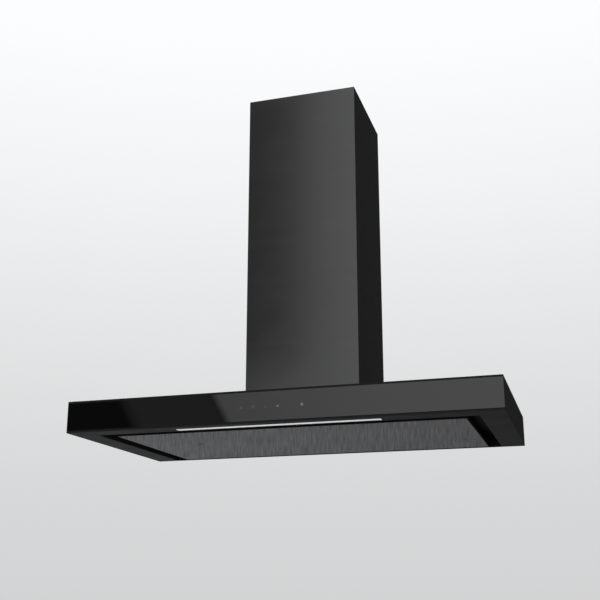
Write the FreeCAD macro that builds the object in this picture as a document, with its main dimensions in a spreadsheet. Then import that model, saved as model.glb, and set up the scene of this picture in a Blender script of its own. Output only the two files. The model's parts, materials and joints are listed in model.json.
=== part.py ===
import FreeCAD, Part
import math
import os
import re

import Sketcher

# A wall-mounted chimney range hood of the 900 mm class with perimeter suction.
# Millimetres. +Z is up, the glass front faces -Y and the wall is the plane at +Y.
# The origin is the middle of the canopy's footprint, at the height of its underside.

Vector = FreeCAD.Vector
Rotation = FreeCAD.Rotation

# --------------------------------------------------------------------------------------
# Driving sizes
# --------------------------------------------------------------------------------------

SIZES = [
    ("canopy_width", 898),
    ("canopy_depth", 457),
    ("canopy_height", 66),
    ("overall_height", 820),
    ("canopy_sheet", 1.2),
    ("bend_radius", 0.8),
    # Front glass and the rail that carries it
    ("glass_thickness", 5),
    ("glass_arris", 0.6),
    ("lip_height", 3.4),
    ("lip_setback", 0.5),
    ("glass_clearance", 0.3),
    ("front_strip", 46),
    ("side_strip", 51),
    ("rear_strip", 5),
    ("strip_seam", 0.4),
    ("rail_flange", 16),
    ("stud_pitch", 190),
    ("stud_radius", 2),
    ("stud_length", 6.4),
    ("nut_height", 3.2),
    ("nut_corner_radius", 4.04),
    ("screw_clearance", 0.1),
    # Light
    ("light_length", 425),
    ("light_width", 16),
    ("light_setback", 31.5),
    ("light_housing_wall", 1.2),
    ("light_housing_height", 14),
    ("light_clearance", 0.3),
    ("diffuser_thickness", 1.4),
    ("diffuser_lip", 1),
    ("board_thickness", 1.6),
    ("light_board_width", 12),
    ("emitter_count", 25),
    ("emitter_pitch", 17),
    ("emitter_side", 3),
    ("emitter_height", 0.8),
    ("driver_length", 120),
    ("driver_width", 44),
    ("driver_height", 22),
    ("driver_foot", 10),
    ("driver_foot_height", 2),
    ("driver_inset", 20),
    ("moulded_round", 3),
    # Touch control
    ("touch_window_width", 160),
    ("touch_window_height", 30),
    ("touch_centre_height", 35),
    ("touch_board_margin", 1),
    ("touch_cover_rim", 6),
    ("touch_cover_depth", 12),
    ("touch_cover_wall", 1.6),
    # Liner and grease filters
    ("liner_sheet", 0.8),
    ("liner_height", 32),
    ("liner_flange", 3.6),
    ("filter_opening_width", 300),
    ("filter_opening_depth", 270),
    ("filter_bar", 24),
    ("filter_rear_margin", 50),
    ("filter_clearance", 0.8),
    ("filter_drop", 7),
    ("filter_thickness", 11),
    ("filter_skin", 1),
    ("filter_rim", 12),
    ("filter_front_rim", 41),
    ("filter_tab_width", 20),
    ("filter_tab_reach", 6),
    ("filter_tab_offset", 90),
    ("mesh_sheet", 0.6),
    ("mesh_folds", 18),
    ("slide_clearance", 0.3),
    ("latch_width", 60),
    ("latch_length", 20),
    ("latch_travel", 6),
    ("latch_cover", 1),
    ("latch_mouth_width", 48),
    ("bolt_width", 24),
    ("bolt_reach", 5.5),
    ("grip_width", 26),
    ("grip_drop", 4),
    ("grip_length", 9),
    ("grip_inset", 3),
    ("tongue_inset", 4),
    # Suction panel, hinges and catches
    ("panel_side_gap", 29),
    ("panel_front_gap", 30),
    ("panel_rear_gap", 6),
    ("panel_lift", 0.5),
    ("panel_sheet", 1),
    ("panel_rim", 12),
    ("panel_return", 14),
    ("stiffener_width", 40),
    ("stiffener_flange", 10),
    ("stiffener_end_gap", 12),
    ("hinge_offset", 260),
    ("hinge_setback", 8),
    ("hinge_height", 8),
    ("hinge_pin_radius", 2),
    ("pin_head", 0.8),
    ("running_fit", 0.05),
    ("knuckle_radius", 4),
    ("knuckle_length", 20),
    ("leaf_length", 40),
    ("hinge_sheet", 2),
    ("hinge_foot", 22),
    ("hinge_notch_gap", 3),
    ("catch_offset", 220),
    ("catch_width", 30),
    ("catch_depth", 12),
    ("catch_gap", 0.3),
    ("catch_round", 1.5),
    ("striker_sheet", 1),
    ("striker_overhang", 2),
    # Chimney
    ("chimney_width", 258),
    ("chimney_depth", 254),
    ("chimney_sheet", 0.8),
    ("chimney_return", 15),
    ("nest_gap", 0.8),
    ("upper_raise", 30),
    ("upper_top_drop", 1),
    ("vent_slots", 9),
    ("vent_length", 56),
    ("vent_width", 5),
    ("vent_pitch", 12),
    ("vent_top_margin", 70),
    ("bracket_height", 30),
    ("bracket_sheet", 1.5),
    ("bracket_top_margin", 16),
    ("bracket_tab", 16),
    ("bracket_seam", 2.5),
    ("bracket_hole_radius", 3),
    ("bracket_hole_offset", 80),
    ("tapping_radius", 1.7),
    ("tapping_head_radius", 3.2),
    ("tapping_head_height", 0.9),
    # Motor box and mounting plate
    ("box_width", 236),
    ("box_depth", 236),
    ("box_height", 285),
    ("box_sheet", 1),
    ("box_flange", 6),
    ("box_screw_offset", 80),
    ("intake_margin", 6),
    ("machine_screw_radius", 2),
    ("machine_head_radius", 2.7),
    ("machine_head_height", 2.4),
    ("machine_screw_length", 6),
    ("plate_sheet", 2),
    ("plate_inset", 3),
    ("plate_rise", 64),
    ("hook_margin", 23),
    ("hook_width", 24),
    ("hook_sheet", 2),
    ("hook_height", 45),
    ("hook_lip", 8),
    ("hook_reach", 17),
    ("hook_hole_radius", 3),
    ("hook_hole_pitch", 20),
    ("hook_travel", 10),
    ("hook_window_gap", 3),
    ("level_screw_radius", 3),
    ("level_screw_setback", 5.5),
    ("level_head_height", 4),
    ("level_head_radius", 5),
    ("level_tab_depth", 12),
    ("level_tab_drop", 8),
    ("fixing_hole_radius", 3),
    # Blower
    ("impeller_radius", 75),
    ("impeller_bore_radius", 62),
    ("impeller_width", 92),
    ("impeller_disc", 2),
    ("impeller_ring", 3),
    ("blade_count", 32),
    ("blade_thickness", 0.9),
    ("blade_curve_radius", 10),
    ("blade_lean", 0.9),
    ("hub_radius", 14),
    ("hub_length", 24),
    ("scroll_gap", 9),
    ("scroll_step", 14),
    ("scroll_width", 108),
    ("scroll_wall", 2),
    ("tongue_cut", 4),
    ("scroll_floor_gap", 12),
    ("scroll_rear_gap", 6),
    ("outlet_throat", 150),
    ("inlet_radius", 62),
    ("inlet_lip", 4),
    ("inlet_lip_wall", 5),
    ("inlet_round", 2.5),
    ("ear_radius", 6),
    ("ear_length", 6),
    ("shaft_radius", 4),
    ("shaft_overhang", 10),
    ("motor_radius", 42),
    ("motor_length", 72),
    ("motor_air_gap", 7),
    ("motor_round", 5),
    ("motor_bore_radius", 5.5),
    ("bearing_radius", 9),
    ("bearing_length", 7),
    ("arm_circle_radius", 74),
    ("arm_width", 12),
    ("arm_pad_radius", 7),
    ("arm_sheet", 2),
    ("clamp_wall", 7),
    ("grommet_length", 6),
    ("grommet_radius", 5),
    ("capacitor_radius", 15),
    ("capacitor_height", 58),
    ("capacitor_stud_radius", 4),
    ("capacitor_stud_length", 9),
    ("capacitor_nut_radius", 7.5),
    ("capacitor_nut_height", 5),
    ("capacitor_inset", 36),
    ("capacitor_round", 2),
    # Outlet collar and backdraught flaps
    ("outlet_radius", 75),
    ("outlet_wall", 2),
    ("outlet_length", 42),
    ("outlet_flange", 8),
    ("outlet_flange_sheet", 2),
    ("collar_screw_inset", 4.6),
    ("flap_axis_height", 14),
    ("flap_sheet", 1),
    ("flap_rim_gap", 1),
    ("flap_seat_width", 3),
    ("flap_seat_height", 2),
    ("flap_rod_radius", 1.5),
    ("flap_knuckle_radius", 3),
    ("flap_knuckle_length", 22),
    ("flap_knuckle_offset", 40),
    ("flap_knuckle_gap", 0.5),
    # Mains terminal box
    ("terminal_width", 90),
    ("terminal_depth", 42),
    ("terminal_height", 26),
    ("terminal_wall", 2),
    ("terminal_lid_sheet", 2),
    ("terminal_inset", 8),
    ("terminal_round", 3),
    ("gland_bore_radius", 4.5),
    ("gland_thread_radius", 8),
    ("gland_nut_radius", 11),
    ("gland_nut_length", 5),
    ("gland_dome_radius", 9),
    ("gland_dome_length", 10),
]

# Places worked out from the sizes, in the order in which they build on each other.
PLACES = [
    ("half_width", "canopy_width / 2"),
    ("front_y", "-canopy_depth / 2"),
    ("wall_y", "canopy_depth / 2"),
    ("glass_back", "front_y + glass_thickness"),
    ("rail_back", "glass_back + canopy_sheet"),
    ("top_under", "canopy_height - canopy_sheet"),
    ("flange_under", "top_under - canopy_sheet"),
    ("opening_half", "half_width - side_strip"),
    ("opening_front", "front_y + front_strip"),
    ("opening_rear", "wall_y - rear_strip"),
    ("light_y", "front_y + light_setback"),
    ("light_half", "light_length / 2"),
    ("light_inner", "light_width / 2 + light_clearance + diffuser_lip"),
    ("light_top", "canopy_sheet + light_housing_height"),
    ("touch_half", "touch_window_width / 2"),
    ("touch_low", "touch_centre_height - touch_window_height / 2"),
    ("touch_high", "touch_centre_height + touch_window_height / 2"),
    ("liner_top", "liner_height + liner_sheet"),
    ("filter_x", "(filter_bar + filter_opening_width) / 2"),
    ("filter_rear", "opening_rear - filter_rear_margin"),
    ("filter_front", "filter_rear - filter_opening_depth"),
    ("filter_low", "liner_height - filter_drop"),
    ("filter_top", "filter_low + filter_thickness"),
    ("frame_half", "filter_opening_width / 2 - filter_clearance"),
    ("frame_front", "filter_front + filter_clearance"),
    ("frame_rear", "filter_rear - filter_clearance"),
    ("tab_low", "liner_top + slide_clearance"),
    ("latch_low", "filter_low + filter_skin + slide_clearance"),
    ("latch_high", "filter_top - filter_skin - slide_clearance"),
    ("latch_front", "frame_front + filter_skin + slide_clearance"),
    ("latch_rear", "latch_front + latch_length"),
    ("panel_half", "opening_half - panel_side_gap"),
    ("panel_front", "opening_front + panel_front_gap"),
    ("panel_rear", "opening_rear - panel_rear_gap"),
    ("panel_inside", "panel_lift + panel_sheet"),
    ("panel_top", "panel_lift + panel_rim"),
    ("hinge_y", "panel_rear - hinge_setback"),
    ("striker_top", "panel_top + striker_sheet"),
    ("chimney_half", "chimney_width / 2"),
    ("chimney_front", "wall_y - chimney_depth"),
    ("upper_inset", "chimney_sheet + nest_gap"),
    ("upper_half", "chimney_half - upper_inset"),
    ("upper_top", "overall_height - upper_top_drop"),
    ("upper_inner_half", "upper_half - chimney_sheet"),
    ("upper_return_front", "wall_y - upper_inset - chimney_sheet"),
    ("bracket_top", "upper_top - bracket_top_margin"),
    ("bracket_low", "bracket_top - bracket_height"),
    ("bracket_middle", "bracket_top - bracket_height / 2"),
    ("plate_back", "wall_y - hook_sheet - plate_inset"),
    ("plate_front", "plate_back - plate_sheet"),
    ("box_rear", "plate_front"),
    ("box_front", "box_rear - box_depth"),
    ("box_half", "box_width / 2"),
    ("hook_offset", "box_half - hook_margin"),
    ("fixing_hole_offset", "hook_offset / 2"),
    ("box_top", "canopy_height + box_height"),
    ("box_ceiling", "box_top - box_sheet"),
    ("plate_top", "box_top + plate_rise"),
    ("hook_top", "plate_top - level_tab_drop - plate_sheet - hook_travel - hook_lip"),
    ("level_y", "plate_front - level_screw_setback"),
    ("hook_front", "wall_y - hook_reach - hook_sheet"),
    ("scroll_half", "scroll_width / 2"),
    ("first_radius", "impeller_radius + scroll_gap"),
    ("second_radius", "first_radius + scroll_step"),
    ("third_radius", "second_radius + scroll_step"),
    ("centre_shift", "scroll_step / 2"),
    ("blower_y", "box_rear - box_sheet - scroll_rear_gap - scroll_wall - third_radius - centre_shift"),
    ("blower_z", "canopy_height + scroll_floor_gap + scroll_wall + second_radius + centre_shift"),
    ("scroll_rear", "blower_y + centre_shift + third_radius"),
    ("tongue_y", "blower_y - centre_shift - tongue_cut"),
    ("outlet_y", "scroll_rear - outlet_throat / 2"),
    ("impeller_half", "impeller_width / 2"),
    ("blade_tip_radius", "impeller_radius - blade_thickness"),
    ("motor_near", "impeller_disc / 2 + motor_air_gap"),
    ("motor_far", "motor_near + motor_length"),
    ("arm_near", "scroll_half + scroll_wall + grommet_length"),
    ("arm_far", "arm_near + arm_sheet"),
    ("flap_z", "box_top + flap_axis_height"),
    ("flap_low", "flap_z - flap_knuckle_radius"),
    ("outlet_inner", "outlet_radius - outlet_wall"),
    ("flap_radius", "outlet_inner - flap_rim_gap"),
    ("flap_inner_edge", "flap_knuckle_radius + flap_knuckle_gap"),
    ("terminal_front", "box_front + terminal_inset"),
    ("terminal_rear", "terminal_front + terminal_depth"),
    ("terminal_half", "terminal_width / 2"),
    ("gland_x", "terminal_half / 2"),
    ("terminal_top", "box_top + terminal_height"),
    ("capacitor_x", "box_half - capacitor_inset"),
    ("capacitor_y", "box_front + capacitor_inset"),
]

doc = FreeCAD.newDocument("chimney_hood")
sizes = doc.addObject("Spreadsheet::Sheet", "Sizes")
places = doc.addObject("Spreadsheet::Sheet", "Places")
scratch = doc.addObject("Spreadsheet::Sheet", "Scratch")
size_names = {name for name, value in SIZES}
place_names = {name for name, formula in PLACES}
pieces = []


def full(formula):
    """Return the formula with each size and place name led by the sheet that holds it."""
    def with_sheet(match):
        name = match.group(0)
        if name in size_names:
            return "Sizes." + name
        if name in place_names:
            return "Places." + name
        return name
    return re.sub(r"[a-z_][a-z0-9_]*", with_sheet, str(formula))


def number(formula):
    """Return the value of a formula, worked out in a sheet that nothing else reads."""
    scratch.set("A1", "=" + full(formula))
    scratch.recompute()
    return float(scratch.get("A1"))


def fill_sheets():
    """Write the sizes and places to their sheets under their own names."""
    for row, (name, value) in enumerate(SIZES, start=1):
        sizes.set("A%d" % row, name)
        sizes.set("B%d" % row, str(value))
        sizes.setAlias("B%d" % row, name)
    doc.recompute()
    for row, (name, formula) in enumerate(PLACES, start=1):
        places.set("A%d" % row, name)
        places.set("B%d" % row, "=" + full(formula))
        places.setAlias("B%d" % row, name)
        places.recompute()
    doc.recompute()


# --------------------------------------------------------------------------------------
# Sketch outlines: each function returns a drawer that adds one closed outline to a sketch
# --------------------------------------------------------------------------------------

def bind(sketch, constraint, formula):
    """Add a dimension to a sketch and tie it to a formula."""
    index = sketch.addConstraint(constraint)
    sketch.setExpression("Constraints[%d]" % index, full(formula))


def fix_point(sketch, geometry, vertex, x, y):
    """Hold one point of a sketch at two formulas from the origin."""
    bind(sketch, Sketcher.Constraint("DistanceX", -1, 1, geometry, vertex, number(x)), x)
    bind(sketch, Sketcher.Constraint("DistanceY", -1, 1, geometry, vertex, number(y)), y)


def polygon(corners):
    """Return a drawer of a closed outline through corners given as pairs of formulas."""
    def draw(sketch):
        points = [Vector(number(x), number(y), 0) for x, y in corners]
        lines = [
            sketch.addGeometry(Part.LineSegment(start, end))
            for start, end in zip(points, points[1:] + points[:1])
        ]
        for line, following in zip(lines, lines[1:] + lines[:1]):
            sketch.addConstraint(Sketcher.Constraint("Coincident", line, 2, following, 1))
        for line, (x, y) in zip(lines, corners):
            fix_point(sketch, line, 1, x, y)
    return draw


def rectangle(left, right, low, high):
    """Return a drawer of a rectangle between four formulas."""
    return polygon([(left, low), (right, low), (right, high), (left, high)])


def circle(x, y, radius):
    """Return a drawer of a circle."""
    def draw(sketch):
        centre = Vector(number(x), number(y), 0)
        ring = sketch.addGeometry(Part.Circle(centre, Vector(0, 0, 1), number(radius)))
        fix_point(sketch, ring, 3, x, y)
        bind(sketch, Sketcher.Constraint("Radius", ring, number(radius)), radius)
    return draw


def free_arc(sketch, x, y, radius, start, end):
    """Add an arc of a bound radius, from one angle in degrees to another."""
    centre = Vector(number(x), number(y), 0)
    whole = Part.Circle(centre, Vector(0, 0, 1), number(radius))
    turn = Part.ArcOfCircle(whole, math.radians(start), math.radians(end))
    curve = sketch.addGeometry(turn)
    bind(sketch, Sketcher.Constraint("Radius", curve, number(radius)), radius)
    return curve


def arc(sketch, x, y, radius, start, end):
    """Add an arc whose centre is held at two formulas."""
    curve = free_arc(sketch, x, y, radius, start, end)
    fix_point(sketch, curve, 3, x, y)
    return curve


# --------------------------------------------------------------------------------------
# Features
# --------------------------------------------------------------------------------------

def new_body(label):
    """Start a sub-part that is built of sketched features."""
    body = doc.addObject("PartDesign::Body", "Body")
    body.Label = label
    pieces.append(body)
    return body


def new_sketch(body, plane, place):
    """Attach a sketch to an origin plane of its body, moved along the world axis it faces."""
    sketch = body.newObject("Sketcher::SketchObject", "Sketch")
    role = plane + "_Plane"
    support = [feature for feature in body.Origin.OriginFeatures if feature.Role == role][0]
    sketch.AttachmentSupport = [(support, "")]
    sketch.MapMode = "FlatFace"
    # The XZ plane looks along -Y, so a place along +Y is a negative offset there.
    offset = "-(%s)" % place if plane == "XZ" else place
    sketch.setExpression(".AttachmentOffset.Base.z", full(offset))
    return sketch


def extrude(body, plane, outlines, low, high, cut=False):
    """Pad or pocket outlines between two places along the axis across their plane."""
    start_high = (plane == "XZ") != cut
    sketch = new_sketch(body, plane, high if start_high else low)
    for draw in outlines:
        draw(sketch)
    kind = "Pocket" if cut else "Pad"
    feature = body.newObject("PartDesign::" + kind, kind)
    feature.Profile = sketch
    feature.setExpression("Length", full("(%s) - (%s)" % (high, low)))
    return feature


def add_block(body, x, y, z):
    """Add a block between pairs of formulas along X, Y and Z."""
    return extrude(body, "XY", [rectangle(*x, *y)], *z)


def cut_block(body, x, y, z):
    """Cut a block between pairs of formulas along X, Y and Z."""
    return extrude(body, "XY", [rectangle(*x, *y)], *z, cut=True)


def both(half):
    """Return the pair of places from minus half to plus half."""
    return "-(%s)" % half, half


def about(middle, half):
    """Return the pair of places half before and half after a middle."""
    return "(%s) - (%s)" % (middle, half), "(%s) + (%s)" % (middle, half)


def on_side(side, near, far):
    """Return the pair of places near..far on the right (1) or mirrored to the left (-1)."""
    if side > 0:
        return near, far
    return "-(%s)" % far, "-(%s)" % near


def dress(body, kind, prop, formula, chosen):
    """Fillet or chamfer the edges of a body that a test chooses."""
    doc.recompute()
    base = body.Tip
    names = ["Edge%d" % n for n, edge in enumerate(base.Shape.Edges, start=1) if chosen(edge)]
    feature = body.newObject("PartDesign::" + kind, kind)
    feature.Base = (base, names)
    feature.setExpression(prop, full(formula))
    return feature


def repeat(body, feature, role, count, pitch, backwards=False):
    """Repeat a feature along an axis of its body."""
    doc.recompute()
    pattern = body.newObject("PartDesign::LinearPattern", "LinearPattern")
    pattern.Originals = [feature]
    axis = [item for item in body.Origin.OriginFeatures if item.Role == role][0]
    pattern.Direction = (axis, [""])
    pattern.Reversed = backwards
    pattern.Mode = "Spacing"
    pattern.setExpression("Offset", full(pitch))
    pattern.setExpression("Occurrences", full(count))
    body.Tip = pattern


def on_plane(edge, axis, place):
    """Tell whether all ends of an edge lie at one place along an axis (0, 1 or 2)."""
    return all(abs(vertex.Point[axis] - place) < 1e-4 for vertex in edge.Vertexes)


def is_straight_along(edge, axis):
    """Tell whether an edge is a straight line along an axis."""
    if edge.Curve.TypeId != "Part::GeomLine" or len(edge.Vertexes) < 2:
        return False
    run = edge.Vertexes[1].Point - edge.Vertexes[0].Point
    return abs(abs(run[axis]) - run.Length) < 1e-6


TURN_TO_AXIS = {
    "X": Rotation(Vector(0, 1, 0), 90),
    "Y": Rotation(Vector(1, 0, 0), -90),
    "Z": Rotation(),
}


def primitive(kind, spot, axis, low, values):
    """Add a Part primitive whose length starts at a place along an axis through a spot."""
    item = doc.addObject("Part::" + kind, kind)
    item.Placement = FreeCAD.Placement(Vector(), TURN_TO_AXIS[axis])
    across = [letter for letter in "XYZ" if letter != axis]
    base = dict(zip(across, spot))
    base[axis] = low
    for letter, formula in base.items():
        item.setExpression(".Placement.Base." + letter.lower(), full(formula))
    for prop, formula in values.items():
        item.setExpression(prop, full(formula))
    return item


def rod(spot, axis, radius, low, high):
    """Add a cylinder between two places along an axis."""
    values = {"Radius": radius, "Height": "(%s) - (%s)" % (high, low)}
    return primitive("Cylinder", spot, axis, low, values)


def hexagon(spot, axis, radius, low, high):
    """Add a hexagonal prism between two places along an axis."""
    values = {"Circumradius": radius, "Height": "(%s) - (%s)" % (high, low)}
    return primitive("Prism", spot, axis, low, values)


def join(items):
    """Fuse primitives to one solid."""
    fuse = doc.addObject("Part::MultiFuse", "Fuse")
    fuse.Shapes = items
    return fuse


def bore(item, tool):
    """Cut a tool from a solid."""
    cut = doc.addObject("Part::Cut", "Cut")
    cut.Base = item
    cut.Tool = tool
    return cut


def group(label, items):
    """Keep equal small solids together under one name."""
    compound = doc.addObject("Part::Compound", "Group")
    compound.Links = items
    compound.Label = label
    pieces.append(compound)
    return compound


def headed(spot, axis, sections):
    """Add one turned fastener of (radius, low, high) sections along an axis."""
    return join([rod(spot, axis, *section) for section in sections])


# --------------------------------------------------------------------------------------
# Canopy
# --------------------------------------------------------------------------------------

STUD_STEPS = (-2, -1, 0, 1, 2)


def stud_spots():
    """Return the spots of the studs that hold the front rail."""
    return [("%d * stud_pitch" % step, "rail_back + rail_flange / 2") for step in STUD_STEPS]


def box_screw_spots():
    """Return the spots of the screws through the flange of the motor box."""
    side_x = "box_half + box_flange / 2"
    front_y = "box_front - box_flange / 2"
    spots = [(sign + "box_screw_offset", front_y) for sign in ("-", "")]
    middle_y = "(box_front + box_rear) / 2"
    for sign in ("-", ""):
        for shift in ("-box_screw_offset", "box_screw_offset"):
            spots.append((sign + "(%s)" % side_x, "%s + %s" % (middle_y, shift)))
    return spots


def make_canopy_shell():
    """Folded sheet box: top, sides, rear and the strips along the underside."""
    body = new_body("canopy_shell")
    add_block(body, both("half_width"), ("rail_back", "wall_y"), ("0", "canopy_height"))
    inside_y = ("rail_back", "wall_y - canopy_sheet")
    cut_block(body, both("half_width - canopy_sheet"), inside_y, ("canopy_sheet", "top_under"))
    cut_block(body, both("opening_half"), ("rail_back", "opening_rear"), ("0", "canopy_sheet"))
    intake_y = ("box_front + intake_margin", "box_rear - intake_margin")
    cut_block(body, both("box_half - intake_margin"), intake_y, ("top_under", "canopy_height"))
    holes = [circle(x, y, "machine_screw_radius") for x, y in box_screw_spots()]
    extrude(body, "XY", holes, "top_under", "canopy_height", cut=True)
    studs = [circle(x, y, "stud_radius") for x, y in stud_spots()]
    extrude(body, "XY", studs, "top_under - stud_length", "top_under")

    def outer_bend(edge):
        if not on_plane(edge, 2, number("canopy_height")):
            return False
        sides = any(on_plane(edge, 0, sign * number("half_width")) for sign in (-1, 1))
        return sides or on_plane(edge, 1, number("wall_y"))

    dress(body, "Fillet", "Radius", "bend_radius", outer_bend)


def make_front_rail():
    """Folded rail behind the glass, with its lips and the strip that holds the light."""
    body = new_body("front_rail")
    lip_y = "front_y + lip_setback"
    profile = polygon([
        (lip_y, "0"),
        ("rail_back", "0"),
        ("rail_back", "canopy_height"),
        (lip_y, "canopy_height"),
        (lip_y, "canopy_height - lip_height"),
        ("glass_back", "canopy_height - lip_height"),
        ("glass_back", "lip_height"),
        (lip_y, "lip_height"),
    ])
    extrude(body, "YZ", [profile], *both("half_width"))
    flange_y = ("rail_back", "rail_back + rail_flange")
    inside = both("half_width - canopy_sheet - strip_seam")
    add_block(body, inside, flange_y, ("flange_under", "top_under"))
    strip_y = ("rail_back", "opening_front")
    add_block(body, both("opening_half - strip_seam"), strip_y, ("0", "canopy_sheet"))
    slot_y = about("light_y", "light_width / 2")
    cut_block(body, both("light_half"), slot_y, ("0", "canopy_sheet"))
    holes = [circle(x, y, "stud_radius + screw_clearance") for x, y in stud_spots()]
    extrude(body, "XY", holes, "flange_under", "top_under", cut=True)
    window = rectangle(*both("touch_half"), "touch_low", "touch_high")
    extrude(body, "XZ", [window], "glass_back", "rail_back", cut=True)


def make_front_glass():
    """Toughened glass across the whole front, with ground arrises."""
    body = new_body("front_glass")
    low = "lip_height + glass_clearance"
    high = "canopy_height - lip_height - glass_clearance"
    add_block(body, both("half_width"), ("front_y", "glass_back"), (low, high))
    dress(body, "Chamfer", "Size", "glass_arris", lambda edge: on_plane(edge, 1, number("front_y")))


def make_rail_nuts():
    """Nuts that pull the flange of the front rail up against the top sheet."""
    low = "flange_under - nut_height"
    nuts = []
    for spot in stud_spots():
        nut = hexagon(spot, "Z", "nut_corner_radius", low, "flange_under")
        hole = rod(spot, "Z", "stud_radius + running_fit", low, "flange_under")
        nuts.append(bore(nut, hole))
    group("rail_nuts", nuts)


# --------------------------------------------------------------------------------------
# Light and touch control
# --------------------------------------------------------------------------------------

def make_light():
    """Light housing over the slot, board with its emitters and the opal bar in the slot."""
    housing = new_body("light_housing")
    inner = "light_inner"
    outer = "light_inner + light_housing_wall"
    end = "light_half + light_clearance + diffuser_lip"
    outer_x = both(end + " + light_housing_wall")
    add_block(housing, outer_x, about("light_y", outer), ("canopy_sheet", "light_top"))
    roof = "light_top - light_housing_wall"
    cut_block(housing, both(end), about("light_y", inner), ("canopy_sheet", roof))

    board = new_body("light_board")
    board_low = roof + " - board_thickness"
    board_x = both("light_half - light_clearance")
    add_block(board, board_x, about("light_y", "light_board_width / 2"), (board_low, roof))
    first_x = "-(emitter_count - 1) / 2 * emitter_pitch"
    emitter = rectangle(*about(first_x, "emitter_side / 2"), *about("light_y", "emitter_side / 2"))
    pad = extrude(board, "XY", [emitter], board_low + " - emitter_height", board_low)
    repeat(board, pad, "X_Axis", "emitter_count", "emitter_pitch")

    bar = new_body("light_diffuser")
    seat = ("canopy_sheet", "canopy_sheet + diffuser_thickness")
    lip_x = both("light_half + diffuser_lip")
    lip_y = about("light_y", "light_width / 2 + diffuser_lip")
    add_block(bar, lip_x, lip_y, seat)
    in_slot_x = both("light_half - light_clearance / 2")
    in_slot_y = about("light_y", "light_width / 2 - light_clearance / 2")
    add_block(bar, in_slot_x, in_slot_y, ("0", "canopy_sheet"))


def make_light_driver():
    """Driver box of the light, on the liner beside the left filter."""
    body = new_body("light_driver")
    left = "-opening_half + driver_inset"
    right = left + " + driver_width"
    rear = "filter_rear - driver_inset"
    front = rear + " - driver_length"
    top = "liner_top + driver_height"
    add_block(body, (left, right), (front, rear), ("liner_top", top))
    dress(body, "Fillet", "Radius", "moulded_round", lambda edge: is_straight_along(edge, 2))
    foot_y = (front + " - driver_foot", rear + " + driver_foot")
    add_block(body, (left, right), foot_y, ("liner_top", "liner_top + driver_foot_height"))


def make_touch_control():
    """Touch board bonded to the glass in the rail's window, and the cover behind it."""
    board = new_body("touch_board")
    board_x = both("touch_half - touch_board_margin")
    board_z = ("touch_low + touch_board_margin", "touch_high - touch_board_margin")
    add_block(board, board_x, ("glass_back", "glass_back + board_thickness"), board_z)

    cover = new_body("touch_cover")
    outer_x = both("touch_half + touch_cover_rim")
    outer_z = ("touch_low - touch_cover_rim / 2", "touch_high + touch_cover_rim")
    cover_back = "rail_back + touch_cover_depth"
    add_block(cover, outer_x, ("rail_back", cover_back), outer_z)
    dress(cover, "Fillet", "Radius", "moulded_round", lambda edge: is_straight_along(edge, 1))
    inside = rectangle(
        *both("touch_half + touch_cover_rim - touch_cover_wall"),
        "touch_low - touch_cover_rim / 2 + touch_cover_wall",
        "touch_high + touch_cover_rim - touch_cover_wall",
    )
    extrude(cover, "XZ", [inside], "rail_back", cover_back + " - touch_cover_wall", cut=True)


# --------------------------------------------------------------------------------------
# Liner and grease filters
# --------------------------------------------------------------------------------------

def make_liner():
    """Liner over the suction panel: a shallow tray upside down, open to both filters."""
    body = new_body("liner")
    flange_x = both("opening_half + liner_flange")
    flange_y = ("opening_front - liner_flange", "opening_rear + liner_sheet")
    add_block(body, flange_x, flange_y, ("canopy_sheet", "canopy_sheet + liner_sheet"))
    wall_x = both("opening_half + liner_sheet")
    wall_y = ("opening_front - liner_sheet", "opening_rear + liner_sheet")
    add_block(body, wall_x, wall_y, ("canopy_sheet", "liner_top"))
    inside_y = ("opening_front", "opening_rear")
    cut_block(body, both("opening_half"), inside_y, ("canopy_sheet", "liner_height"))
    for side in (-1, 1):
        near = "filter_bar / 2"
        opening_x = on_side(side, near, near + " + filter_opening_width")
        cut_block(body, opening_x, ("filter_front", "filter_rear"), ("liner_height", "liner_top"))


def make_filter_frame(label, centre):
    """Channel frame of a grease filter, with its rear tabs and the pocket of its latch."""
    body = new_body(label)
    whole_x = about(centre, "frame_half")
    add_block(body, whole_x, ("frame_front", "frame_rear"), ("filter_low", "filter_top"))
    groove_x = about(centre, "frame_half - filter_skin")
    groove_y = ("frame_front + filter_front_rim - filter_rim", "frame_rear - filter_skin")
    groove_z = ("filter_low + filter_skin", "filter_top - filter_skin")
    cut_block(body, groove_x, groove_y, groove_z)
    open_x = about(centre, "frame_half - filter_rim")
    open_y = ("frame_front + filter_front_rim", "frame_rear - filter_rim")
    cut_block(body, open_x, open_y, ("filter_low", "filter_top"))
    pocket_x = about(centre, "latch_width / 2 + slide_clearance")
    pocket_y = ("frame_front + filter_skin", "latch_rear + latch_travel + slide_clearance")
    cut_block(body, pocket_x, pocket_y, ("latch_low - slide_clearance", "latch_high + slide_clearance"))
    mouth_x = about(centre, "latch_mouth_width / 2")
    mouth_y = ("latch_front + latch_cover", "latch_rear + latch_travel - latch_cover")
    cut_block(body, mouth_x, mouth_y, ("filter_low", "filter_low + filter_skin"))
    bolt_x = about(centre, "bolt_width / 2 + slide_clearance")
    bolt_y = ("frame_front", "frame_front + filter_skin")
    cut_block(body, bolt_x, bolt_y, ("tab_low - slide_clearance", "latch_high + slide_clearance"))
    for sign in ("-", "+"):
        tab_x = about("%s %s filter_tab_offset" % (centre, sign), "filter_tab_width / 2")
        tab_y = ("frame_rear", "frame_rear + filter_tab_reach")
        add_block(body, tab_x, tab_y, ("tab_low", "filter_top"))


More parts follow.
